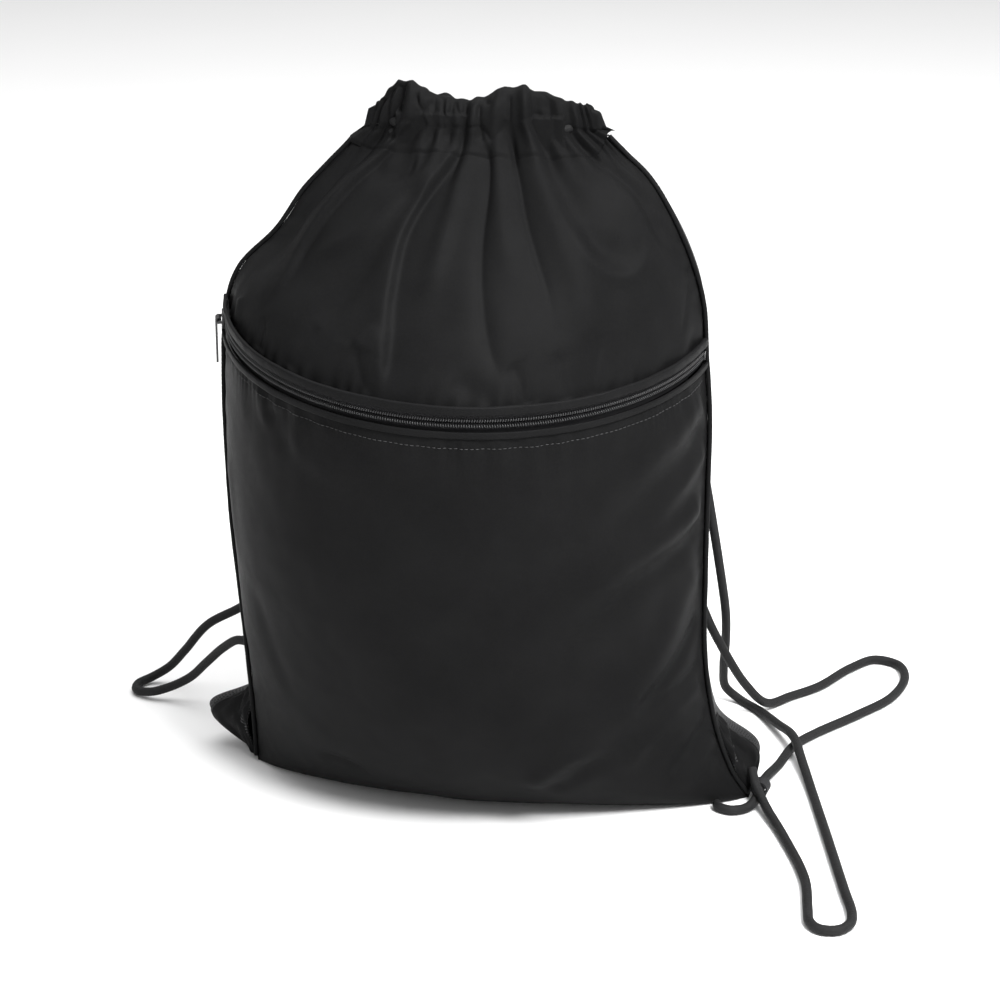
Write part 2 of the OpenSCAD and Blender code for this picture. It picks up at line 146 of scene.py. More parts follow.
def closed_sheet(outer, inner):
    """Points and faces of a sheet between two grids, closed round its edge."""
    rows, cols = outer.shape[:2]
    n = rows * cols
    faces = [grid_faces(rows, cols), grid_faces(rows, cols)[:, ::-1] + n]
    index = np.arange(n).reshape(rows, cols)
    for edge in (index[0, ::-1], index[:, 0], index[-1], index[::-1, -1]):
        faces.append(np.stack([edge[:-1], edge[1:], edge[1:] + n, edge[:-1] + n], 1))
    return np.concatenate([outer.reshape(-1, 3), inner.reshape(-1, 3)]), np.concatenate(faces)


def grid_normals(p):
    along, up = np.gradient(p, axis=1), np.gradient(p, axis=0)
    n = np.cross(along, up)
    return n / np.maximum(np.linalg.norm(n, axis=2, keepdims=True), 1e-9)


def distance_along(line):
    return np.concatenate([[0], np.cumsum(np.linalg.norm(np.diff(line, axis=0), axis=1))])


def smooth_route(points, step):
    """A Catmull-Rom curve through points, resampled every step mm."""
    p = np.asarray(points, float)
    p = np.concatenate([[2 * p[0] - p[1]], p, [2 * p[-1] - p[-2]]])
    t = np.concatenate([[0], np.cumsum(np.linalg.norm(np.diff(p, axis=0), axis=1) ** 0.5)])
    out = []
    for i in range(1, len(p) - 2):
        x = np.linspace(t[i], t[i + 1], 24, endpoint=False)[:, None]
        a1 = (t[i] - x) / (t[i] - t[i - 1]) * p[i - 1] + (x - t[i - 1]) / (t[i] - t[i - 1]) * p[i]
        a2 = (t[i + 1] - x) / (t[i + 1] - t[i]) * p[i] + (x - t[i]) / (t[i + 1] - t[i]) * p[i + 1]
        a3 = (t[i + 2] - x) / (t[i + 2] - t[i + 1]) * p[i + 1]
        a3 = a3 + (x - t[i + 1]) / (t[i + 2] - t[i + 1]) * p[i + 2]
        b1 = (t[i + 1] - x) / (t[i + 1] - t[i - 1]) * a1 + (x - t[i - 1]) / (t[i + 1] - t[i - 1]) * a2
        b2 = (t[i + 2] - x) / (t[i + 2] - t[i]) * a2 + (x - t[i]) / (t[i + 2] - t[i]) * a3
        out.append((t[i + 1] - x) / (t[i + 1] - t[i]) * b1 + (x - t[i]) / (t[i + 1] - t[i]) * b2)
    line = np.concatenate(out + [p[-2:-1]])
    along = distance_along(line)
    at = np.linspace(0, along[-1], max(2, round(along[-1] / step)) + 1)
    return np.stack([np.interp(at, along, line[:, k]) for k in range(line.shape[1])], 1)


def frames_along(line):
    """Tangents and two normals that don't twist along a line."""
    t = np.gradient(line, axis=0)
    t /= np.linalg.norm(t, axis=1, keepdims=True)
    n = np.empty_like(t)
    side = np.cross(t[0], [0, 0, 1] if abs(t[0][2]) < 0.9 else [1, 0, 0])
    for i, d in enumerate(t):
        side = side - side.dot(d) * d
        side /= np.linalg.norm(side)
        n[i] = side
    return t, n, np.cross(t, n)


def tube(line, radius, sides, relief=None):
    """A capped tube along a line; relief(angle, along) is added to its radius."""
    t, n, b = frames_along(line)
    along = distance_along(line)
    angle = np.arange(sides) * 2 * np.pi / sides
    a, s = np.meshgrid(angle, along)
    r = np.full(a.shape, float(radius))
    if relief is not None:
        r = r + relief(a, s)
    round_it = np.cos(a)[..., None] * n[:, None] + np.sin(a)[..., None] * b[:, None]
    rings = line[:, None] + r[..., None] * round_it
    ends = [line[0] - t[0] * 0.3 * r[0, 0], line[-1] + t[-1] * 0.3 * r[-1, 0]]
    points = np.concatenate([rings.reshape(-1, 3), ends])
    weave = np.concatenate([np.stack([a * np.mean(radius), s], 2).reshape(-1, 2), [[0, 0], [0, 0]]])
    return points, tube_faces(len(line), sides), weave


# ---- Cords: two, each doubled from the neck to a bottom corner ----
CORD_R = 3.0
RUN = [
    [44, -9.3], [34, -10.8], [22, -11.4], [8, -11.6], [-8, -11.6], [-22, -11.4], [-34, -10.8], [-44, -9.3],
    [-52, -4.5], [-52, 3.5],
    [-44, 9.3], [-34, 10.8], [-22, 11.4], [-8, 11.6], [8, 11.6], [22, 11.4], [36, 10.5]]
RIGHT_A = [
    [55, -9.3, 428.2], [61, -7.8, 428.2], [65.5, -3, 428.2], [68, 5, 427], [70, 14, 423.5],
    [72.5, 24, 416.5], [77, 36, 403], [84, 47, 388], [95, 60, 365], [108, 76, 334], [116, 88, 300],
    [124, 96, 250], [136, 100, 190], [150, 101, 112], [153, 110, 82], [152, 126, 54], [150, 140, 30],
    [151, 152, 11], [160, 152, 3.4], [176, 134, 3.2], [190, 108, 6.5], [202, 82, 10.4], [210, 54, 6.5],
    [218, 22, 3.2], [232, -42, 3.2], [247, -112, 3.2], [253, -140, 3.2], [252.5, -153, 3.2],
    [246, -161.5, 3.2], [236, -162, 3.2], [229.5, -154, 3.2], [227.5, -140, 3.2], [223, -102, 3.2],
    [206, -48, 3.2], [192, -14, 6], [184, 4, 12], [181, 12, 18]]
RIGHT_B = [
    [47, 10.4, 428.2], [54, 9.4, 428.2], [59.5, 11.2, 428], [62.5, 17, 427], [64, 25, 422.5],
    [67, 36, 409.5], [74, 51, 389], [86, 69, 360], [98, 84, 320], [106, 94, 270], [114, 99, 200],
    [128, 104, 120], [141, 104, 82], [152, 108, 58], [166, 122, 28], [180, 142, 6], [194, 162, 3.2],
    [212, 182, 3.2], [232, 218, 3.2], [248, 236, 3.2], [264, 230, 3.2], [270, 208, 3.2], [262, 172, 3.2],
    [240, 138, 3.2], [216, 106, 3.2], [203, 84, 3.2], [195, 52, 3.2], [189, 28, 5.4], [187, 12, 6.2],
    [185, -4, 4.5], [180, -14, 3.2], [171, -18.5, 3.2], [163, -15, 3.2], [161.5, -10.5, 3.2]]
LEFT_A = [
    [-33, -9.3, 421.8], [-39, -7.8, 421.8], [-43.5, -3, 421.8], [-46, 5, 421.4], [-47.5, 14, 419.6],
    [-50, 24, 414.8], [-54, 35, 405], [-61, 48, 388], [-70, 60, 370], [-81, 71.5, 349], [-94, 83, 318],
    [-104, 94, 276], [-112, 98, 220], [-124, 103, 150], [-144, 106, 96], [-172, 106, 68],
    [-200, 108, 50], [-218, 112, 28], [-231, 116, 13], [-243, 115, 5], [-250.5, 106, 3.2],
    [-248, 94.5, 3.4], [-236, 89, 5.5], [-224, 89, 9.5], [-208, 87, 19], [-193, 79, 35], [-178, 69, 51],
    [-165, 60, 61], [-153, 53.5, 61], [-145.5, 52, 52.5], [-143.5, 54.5, 40], [-146, 57.5, 25],
    [-148, 58, 12.5]]
LEFT_B = [
    [-25, 10.4, 421.8], [-32, 9.4, 421.8], [-37.5, 11.2, 421.8], [-40.5, 17, 420.8], [-42, 25, 416.8],
    [-45, 37, 404], [-53, 54.5, 382], [-65, 73, 350], [-78, 88, 306], [-84, 97, 250], [-88, 100, 160],
    [-88, 104, 80], [-82, 116, 34], [-66, 136, 8], [-30, 156, 3.2], [10, 166, 3.2], [38, 178, 3.2],
    [48, 196, 3.2], [32, 212, 3.2], [0, 218, 3.2], [-50, 210, 3.2], [-100, 186, 3.2], [-140, 152, 3.2],
    [-158, 116, 3.2], [-160, 86, 3.2], [-153, 64, 4.8], [-148, 51.5, 6.2]]


# ---- Materials ----
class Nodes:
    """Short calls for building a material's nodes."""

    def __init__(self, name):
        self.material = bpy.data.materials.new(name)
        self.material.use_nodes = True
        self.tree = self.material.node_tree
        self.shader = self.tree.nodes["Principled BSDF"]

    def put(self, socket, value):
        if isinstance(value, bpy.types.NodeSocket):
            self.tree.links.new(value, socket)
        elif value is not None:
            socket.default_value = value

    def add(self, kind, inputs=(), out=0, **settings):
        node = self.tree.nodes.new("ShaderNode" + kind)
        for key, value in settings.items():
            setattr(node, key, value)
        for key, value in dict(inputs).items():
            self.put(node.inputs[key], value)
        return node.outputs[out]

    def math(self, operation, a, b=None, c=None):
        inputs = {0: a}
        if b is not None:
            inputs[1] = b
        if c is not None:
            inputs[2] = c
        return self.add("Math", inputs, operation=operation)

    def ramp(self, value, low, high, from_min=0.0, from_max=1.0):
        return self.add("MapRange", {0: value, 1: from_min, 2: from_max, 3: low, 4: high})

    def colours(self, value, dark, light):
        return self.add("Mix", {0: value, 6: (*dark, 1), 7: (*light, 1)}, out=2, data_type="RGBA")

    def place(self):
        return self.add("TexCoord", out=3)

    def cloth(self):
        return self.add("Attribute", out=1, attribute_name="weave")

    def axes(self, vector):
        node = self.tree.nodes.new("ShaderNodeSeparateXYZ")
        self.put(node.inputs[0], vector)
        return node.outputs

    def noise(self, vector, scale, detail=2.0, rough=0.5):
        inputs = {"Vector": vector, "Scale": scale, "Detail": detail, "Roughness": rough}
        return self.add("TexNoise", inputs)

    def bump(self, height, distance, strength=1.0, below=None):
        inputs = {"Height": height, "Distance": distance, "Strength": strength, "Normal": below}
        return self.add("Bump", inputs)

    def set(self, **values):
        for key, value in values.items():
            self.put(self.shader.inputs[key.replace("_", " ")], value)
        return self.material


def satin_material(name, dark, light, rough=0.42):
    """Fine satin: long floats across the cloth that catch light, and slubs."""
    m = Nodes(name)
    flat, place = m.cloth(), m.place()
    x, y = m.axes(flat)[0:2]
    twill = m.math("SINE", m.math("MULTIPLY", m.math("ADD", x, m.math("MULTIPLY", y, 0.5)), 11.0))
    weft = m.math("SINE", m.math("MULTIPLY", y, 14.0))
    slub = m.noise(m.add("Mapping", {"Vector": flat, "Scale": (0.12, 2.2, 1.0)}), 1.0, 3.0, 0.6)
    cloud = m.noise(place, 22.0, 3.0, 0.55)
    grain = m.noise(place, 900.0, 2.0, 0.6)
    tint = m.math("MULTIPLY_ADD", cloud, 0.6, m.math("MULTIPLY", grain, 0.4))
    colour = m.colours(m.ramp(tint, 0, 1, 0.3, 0.7), dark, light)
    rough_at = m.ramp(slub, rough - 0.05, rough + 0.06, 0.3, 0.7)
    rough_at = m.math("ADD", rough_at, m.ramp(grain, -0.03, 0.03, 0.3, 0.7))
    height = m.math("ADD", m.math("MULTIPLY", twill, 0.5), m.math("MULTIPLY", weft, 0.35))
    height = m.math("ADD", height, m.math("MULTIPLY", slub, 1.2))
    normal = m.bump(height, 0.00006, 0.55)
    normal = m.bump(cloud, 0.0012, 0.25, normal)
    m.shader.inputs["Specular IOR Level"].default_value = 0.02
    return m.set(Base_Color=colour, Roughness=rough_at, Normal=normal)


def net_material(name):
    """Knitted mesh: small staggered holes between rounded yarns. The holes are not cut; they are painted
    near-black, as painted shade of the dark inside seen through them.
    """
    m = Nodes(name)
    flat, place = m.cloth(), m.place()
    x, y = m.axes(flat)[0:2]
    pitch = 2.1
    row = m.math("FLOOR", m.math("DIVIDE", y, pitch * 0.62))
    shift = m.math("MULTIPLY", m.math("MODULO", m.math("ABSOLUTE", row), 2.0), 0.5)
    across = m.math("SUBTRACT", m.math("FRACT", m.math("ADD", m.math("DIVIDE", x, pitch), shift)), 0.5)
    up = m.math("SUBTRACT", m.math("FRACT", m.math("DIVIDE", y, pitch * 0.62)), 0.5)
    across_2 = m.math("POWER", m.math("ABSOLUTE", across), 2.0)
    up_2 = m.math("MULTIPLY", m.math("POWER", m.math("ABSOLUTE", up), 2.0), 0.62)
    far = m.math("SQRT", m.math("ADD", across_2, up_2))
    yarn = m.ramp(far, 0, 1, 0.2, 0.3)
    strand = m.math("SINE", m.math("MULTIPLY", m.math("ADD", x, y), 9.0))
    cloud = m.noise(place, 30.0, 2.0)
    # Painted shade: the holes take the near-black colour in place of the shaded inside, and the yarn takes
    # a random tone.
    hole_shade_and_tone = m.math("MULTIPLY", yarn, m.ramp(cloud, 0.7, 1.0, 0.3, 0.7))
    colour = m.colours(hole_shade_and_tone, (0.0012, 0.0012, 0.0014), (0.022, 0.022, 0.023))
    height = m.math("ADD", m.math("MULTIPLY", yarn, 1.0), m.math("MULTIPLY", strand, 0.12))
    normal = m.bump(height, 0.0004, 0.9)
    m.shader.inputs["Specular IOR Level"].default_value = 0.25
    return m.set(Base_Color=colour, Roughness=m.ramp(yarn, 0.9, 0.46), Normal=normal)


def cord_material():
    """Braided polyester: fine filaments along each strand of the braid."""
    m = Nodes("cord_braid")
    flat, place = m.cloth(), m.place()
    x, y = m.axes(flat)[0:2]
    fibre = m.math("SINE", m.math("MULTIPLY", m.math("ADD", x, y), 16.0))
    cross = m.math("SINE", m.math("MULTIPLY", m.math("SUBTRACT", x, y), 16.0))
    cloud = m.noise(place, 160.0, 3.0, 0.6)
    colour = m.colours(m.ramp(cloud, 0, 1, 0.3, 0.7), (0.0075, 0.0075, 0.0078), (0.0145, 0.0145, 0.015))
    normal = m.bump(m.math("ADD", fibre, cross), 0.00005, 0.5)
    m.shader.inputs["Specular IOR Level"].default_value = 0.2
    return m.set(Base_Color=colour, Roughness=m.ramp(cloud, 0.5, 0.66, 0.3, 0.7), Normal=normal)


def woven_material(name, dark, light, pitch):
    """Narrow woven tape with a herringbone rib."""
    m = Nodes(name)
    place = m.place()
    x, y, z = m.axes(place)[0:3]
    rib = m.math("SINE", m.math("MULTIPLY", m.math("ADD", x, m.math("ADD", y, z)), 6.283 / pitch))
    cross = m.math("SINE", m.math("MULTIPLY", m.math("SUBTRACT", z, m.math("ADD", x, y)), 6.283 / pitch))
    cloud = m.noise(place, 120.0, 2.0)
    colour = m.colours(m.ramp(m.math("ADD", rib, cloud), 0, 1, -0.6, 1.6), dark, light)
    normal = m.bump(m.math("MAXIMUM", rib, cross), pitch * 0.12, 0.7)
    m.shader.inputs["Specular IOR Level"].default_value = 0.2
    return m.set(Base_Color=colour, Roughness=m.ramp(cloud, 0.55, 0.7), Normal=normal)


def coil_material():
    """Nylon coil, slightly glossy, with a seam of thread along it."""
    m = Nodes("zip_coil_nylon")
    place = m.place()
    cloud = m.noise(place, 260.0, 2.0)
    colour = m.colours(cloud, (0.016, 0.016, 0.017), (0.028, 0.028, 0.029))
    normal = m.bump(m.noise(place, 2500.0), 0.00003, 0.4)
    m.shader.inputs["Specular IOR Level"].default_value = 0.5
    return m.set(Base_Color=colour, Roughness=m.ramp(cloud, 0.3, 0.42), Normal=normal)


def metal_material():
    """Black painted zinc, with a little wear in its gloss."""
    m = Nodes("zip_metal_paint")
    place = m.place()
    cloud = m.noise(place, 300.0, 3.0, 0.6)
    colour = m.colours(m.ramp(cloud, 0, 1, 0.45, 0.75), (0.014, 0.014, 0.015), (0.030, 0.030, 0.031))
    normal = m.bump(m.noise(place, 1800.0, 2.0), 0.00004, 0.5)
    m.shader.inputs["Metallic"].default_value = 0.35
    m.shader.inputs["Coat Weight"].default_value = 0.3
    m.shader.inputs["Coat Roughness"].default_value = 0.2
    return m.set(Base_Color=colour, Roughness=m.ramp(cloud, 0.26, 0.42, 0.3, 0.7), Normal=normal)


def thread_material():
    """Polyester sewing thread, twisted."""
    m = Nodes("thread")
    place = m.place()
    cloud = m.noise(place, 700.0, 2.0)
    colour = m.colours(cloud, (0.014, 0.014, 0.0145), (0.026, 0.026, 0.027))
    normal = m.bump(m.noise(place, 3000.0), 0.00004, 0.5)
    return m.set(Base_Color=colour, Roughness=m.ramp(cloud, 0.45, 0.6), Normal=normal)


def yarn_material():
    """The net's shiny polyester yarn."""
    m = Nodes("net_yarn")
    place = m.place()
    cloud = m.noise(place, 420.0, 2.0)
    colour = m.colours(cloud, (0.012, 0.012, 0.0125), (0.045, 0.045, 0.046))
    normal = m.bump(m.noise(place, 2600.0), 0.00004, 0.5)
    m.shader.inputs["Specular IOR Level"].default_value = 0.4
    return m.set(Base_Color=colour, Roughness=m.ramp(cloud, 0.3, 0.5), Normal=normal)


def floor_material():
    m = Nodes("floor_paint")
    place = m.place()
    colour = m.colours(m.noise(place, 2.0), (0.90, 0.90, 0.90), (0.92, 0.92, 0.92))
    normal = m.bump(m.noise(place, 300.0), 0.00002, 0.2)
    return m.set(Base_Color=colour, Roughness=m.ramp(m.noise(place, 5.0), 0.6, 0.7), Normal=normal)


SATIN = satin_material("satin", (0.0065, 0.0065, 0.0067), (0.0100, 0.0100, 0.0102))
# The same satin made a little lighter, as painted highlight on the rounded folds of the welt, the hem and
# the piping, and a little glossier.
SATIN_PAINTED_HIGHLIGHT = satin_material("satin_painted_highlight", (0.0075, 0.0075, 0.0077), (0.0112, 0.0112, 0.0115), 0.36)
NET = net_material("mesh_net")
CORD = cord_material()
WEBBING = woven_material("webbing_weave", (0.010, 0.010, 0.011), (0.024, 0.024, 0.026), 0.0014)
ZIP_TAPE = woven_material("zip_tape_weave", (0.007, 0.007, 0.008), (0.018, 0.018, 0.019), 0.0009)
COIL = coil_material()
METAL = metal_material()
THREAD = thread_material()
YARN = yarn_material()


def braid(radius, strands=8, depth=0.42):
    pitch = 2 * math.pi * radius / strands

    def relief(angle, along):
        turn = angle * strands / (2 * math.pi)
        p, q = turn + along / pitch, turn - along / pitch
        h1, h2 = np.abs(np.sin(np.pi * p)) ** 0.7, np.abs(np.sin(np.pi * q)) ** 0.7
        over = (np.floor(p) + np.floor(q)) % 2 < 1
        return depth * (np.where(over, h1 * (0.5 + 0.5 * h2), h2 * (0.5 + 0.5 * h1)) - 0.75)

    return relief


def make_cord(name, route, nodes):
    line = smooth_route(route, 0.62 if FINE == 1 else 1.6)
    points, faces, weave = tube(line, CORD_R, 24 if FINE == 1 else 12, braid(CORD_R))
    obj = finish_piece(new_mesh(name, points, faces, weave), ROOT, CORD, nodes)
    return obj


for name, route in (
        ("cord_right_a", RIGHT_A), ("cord_right_b", RIGHT_B),
        ("cord_left_a", LEFT_A), ("cord_left_b", LEFT_B)):
    make_cord("braid_" + name, route, [name])
for name, side, height in (("cord_right_run", 1, 428.2), ("cord_left_run", -1, 421.8)):
    make_cord("braid_" + name, [[11 + side * x, y, height] for x, y in RUN], [name])


# ---- The sack's surface, as the CAD has it ----
SWEEP = math.radians(80)
ZIP_HALF_W, ZIP_Z, ZIP_LEAN, ZIP_SKEW, ZIP_SHIFT = 146.0, 301.0, math.radians(8.5), 0.044, -1.0
ZIP_R = ZIP_HALF_W / math.sin(SWEEP)
ZIP_RISE = ZIP_R * (1 - math.cos(SWEEP))
# Height, shift in x, half width, seam's y, front depth, sag, back depth, drop per unit of x.
LEVELS = np.array([
    [0, 20, 160, 8, 0, 0, 0, 0], [0, 20, 159, 8, 22, 0, 40, 0], [4, 19, 158, 7, 38, 1, 58, 0],
    [20, 14, 153, 5, 55, 6, 72, 0], [55, 8, 148, 2, 76, 13, 80, 0.01], [103, 3, 146, 0, 95, 18, 84, 0.02],
    [160, 0, 148, 0, 109, 21, 86, 0.032], [213, -1, 149, 0, 117, 22, 88, 0.04],
    [260, -1, 149, 0, 121, 20, 88, 0.044],
    [ZIP_Z, ZIP_SHIFT, 146, 0, ZIP_RISE * math.cos(ZIP_LEAN), ZIP_RISE * math.sin(ZIP_LEAN), 85, ZIP_SKEW],
    [330, 2.5, 140, 0, 108, 15, 78, 0.034], [356, 10, 124, 0, 88, 11, 66, 0.022],
    [382, 12, 109, 0, 64, 7, 50, 0.01],
    [400, 13.5, 95, 0, 42, 4, 36, 0], [413, 13, 82, 0, 24, 2, 22, 0], [425, 12, 71, 0, 17, 1, 17, 0],
    [438, 11, 61, 0, 16, 1, 16, 0]], float)
LAST = len(LEVELS) - 1
ZIP_LEVEL, NECK_LEVEL = 9, 14


def level(v):
    v = np.asarray(v, float)
    i = np.clip(np.floor(v).astype(int), 0, LAST - 1)
    t = (v - i)[..., None]
    a, b, c, d = (LEVELS[np.clip(i + k, 0, LAST)] for k in (-1, 0, 1, 2))
    return 0.5 * (2 * b + (c - a) * t + (2 * a - 5 * b + 4 * c - d) * t**2 + (3 * b - a - 3 * c + d) * t**3)


def front_at(u, v):
    q = np.moveaxis(level(v), -1, 0)
    bulge = (np.cos(SWEEP * u) - math.cos(SWEEP)) / (1 - math.cos(SWEEP))
    x = q[2] * np.sin(SWEEP * u) / math.sin(SWEEP)
    return np.stack([x + q[1], q[3] - q[4] * bulge, np.maximum(q[0] - q[5] * bulge - q[7] * x, 0)], -1)


def back_at(w, v):
    q = np.moveaxis(level(v), -1, 0)
    angle = np.pi / 2 * (1 - w)
    c, s = np.cos(angle), np.maximum(np.sin(angle), 0)
    k = (np.abs(c) ** 3 + s**3) ** (-1 / 3)
    x = q[2] * c * k
    degrees = np.degrees(np.minimum(angle, np.pi - angle))
    ear = 34 * np.minimum(v, 1) * np.exp(-((q[0] - 24) / 17) ** 2) * np.exp(-((degrees - 18) ** 2) / 160)
    side = np.where(c < 0, -1.25, 0.55)
    z = np.maximum(q[0] - q[7] * x, 0)
    return np.stack([x + q[1] + side * ear, q[3] + q[6] * s * k + 0.3 * ear, z], -1)


HALF_CLOTH = 205.0
TABLE_V = np.linspace(0, LAST, 641)


def climb(surface, at):
    """How far up the cloth each level is, in mm."""
    p = sum(surface(np.full_like(TABLE_V, s), TABLE_V) for s in at) / len(at)
    return distance_along(p)


FRONT_CLIMB, BACK_CLIMB = climb(front_at, (0.0, 0.5, -0.5)), climb(back_at, (0.0, 0.6, -0.6))
PAST_RIM = 12.0  # mm of cloth per level beyond the last one, where the rim rolls in


def front_climb(v):
    return np.interp(v, TABLE_V, FRONT_CLIMB) + PAST_RIM * np.maximum(v - LAST, 0)


def back_climb(v):
    return np.interp(v, TABLE_V, BACK_CLIMB) + PAST_RIM * np.maximum(v - LAST, 0)


def levels_between(v0, v1, table, step):
    low, high = np.interp([v0, v1], TABLE_V, table)
    return np.interp(np.linspace(low, high, max(2, round((high - low) / step)) + 1), table, TABLE_V)


# ---- Folds ----
def smooth_noise(x, y, size, seed):
    """Smooth random heights from -1 to 1 over cells of the given size in mm."""
    table = np.random.default_rng(seed).uniform(-1, 1, (256, 256))
    gx, gy = np.asarray(x) / size + 97.3, np.asarray(y) / size + 61.7
    ix, iy = np.floor(gx).astype(int), np.floor(gy).astype(int)
    fx, fy = gx - ix, gy - iy
    fx, fy = fx**3 * (fx * (6 * fx - 15) + 10), fy**3 * (fy * (6 * fy - 15) + 10)
    at = lambda i, j: table[(ix + i) % 256, (iy + j) % 256]
    return (at(0, 0) * (1 - fx) + at(1, 0) * fx) * (1 - fy) + (at(0, 1) * (1 - fx) + at(1, 1) * fx) * fy


def to_line(x, y, line):
    """Each point's distance from a line, which side it is on, and how far along
    the line it is, from 0 to 1."""
    best = np.full(x.shape, 1e9)
    signed, share = np.zeros(x.shape), np.zeros(x.shape)
    length = distance_along(line)
    for i, (a, b) in enumerate(zip(line[:-1], line[1:])):
        d = b - a
        span = d @ d
        t = np.clip(((x - a[0]) * d[0] + (y - a[1]) * d[1]) / span, 0, 1)
        ox, oy = x - a[0] - t * d[0], y - a[1] - t * d[1]
        r = np.hypot(ox, oy)
        near = r < best
        best = np.where(near, r, best)
        signed = np.where(near, np.sign(d[0] * oy - d[1] * ox), signed)
        share = np.where(near, (length[i] + t * math.sqrt(span)) / length[-1], share)
    return best, signed, share


def ease(t):
    t = np.clip(t, 0, 1)
    return t * t * (3 - 2 * t)


def fold_field(x, y, folds, climb_of, scale_x=HALF_CLOTH):
    """The height that the folds add at x, y on the cloth, in mm. Each fold is a
    kind, its heights at its two ends, its width and its line of (side, level)
    points. Kinds: ridge, dip (soft valley), crease (sharp valley) and lap, whose
    cloth is high on the right of its line and drops sharply on the left."""
    total = np.zeros(x.shape)
    for kind, (h0, h1), width, fade, points in folds:
        p = np.array(points, float)
        line = smooth_route(np.stack([p[:, 0] * scale_x, climb_of(p[:, 1])], 1), 6.0)
        reach = 4.5 * width
        low, high = line.min(0) - reach, line.max(0) + reach
        near = (x > low[0]) & (x < high[0]) & (y > low[1]) & (y < high[1])
        if not near.any():
            continue
        far, side, share = to_line(x[near], y[near], line)
        height = (h0 + (h1 - h0) * share) * ease(share / fade[0]) * ease((1 - share) / fade[1])
        if kind == "ridge":
            shape = np.exp(-((far / width) ** 2))
        elif kind == "dip":
            shape = -np.exp(-((far / width) ** 2))
        elif kind == "crease":
            shape = -np.exp(-np.sqrt(far**2 + 0.8) / width * 1.4)
        else:
            s = far * -side
            over = 0.5 * (1 + np.tanh(s / 2.4))
            high_side = over * np.exp(-((np.maximum(s, 0) / (1.5 * width)) ** 2))
            shape = high_side - 0.55 * (1 - over) * np.exp(-np.maximum(-s, 0) / width)
        total[near] += height * shape
    return total


# The channel's stitching rises and falls with the gathers: (side, level).
SEAM_LINE = [
    (-0.96, 15.1), (-0.612, 15.2), (-0.411, 15.3), (-0.279, 15.3), (-0.144, 15.4),
    (-0.005, 15.5), (0.03, 15.35), (0.053, 15.09), (0.074, 14.75),
    (0.112, 15.02), (0.176, 15.36), (0.215, 15.45), (0.278, 15.6), (0.346, 15.65),
    (0.453, 15.5), (0.611, 15.4), (0.96, 15.3)]
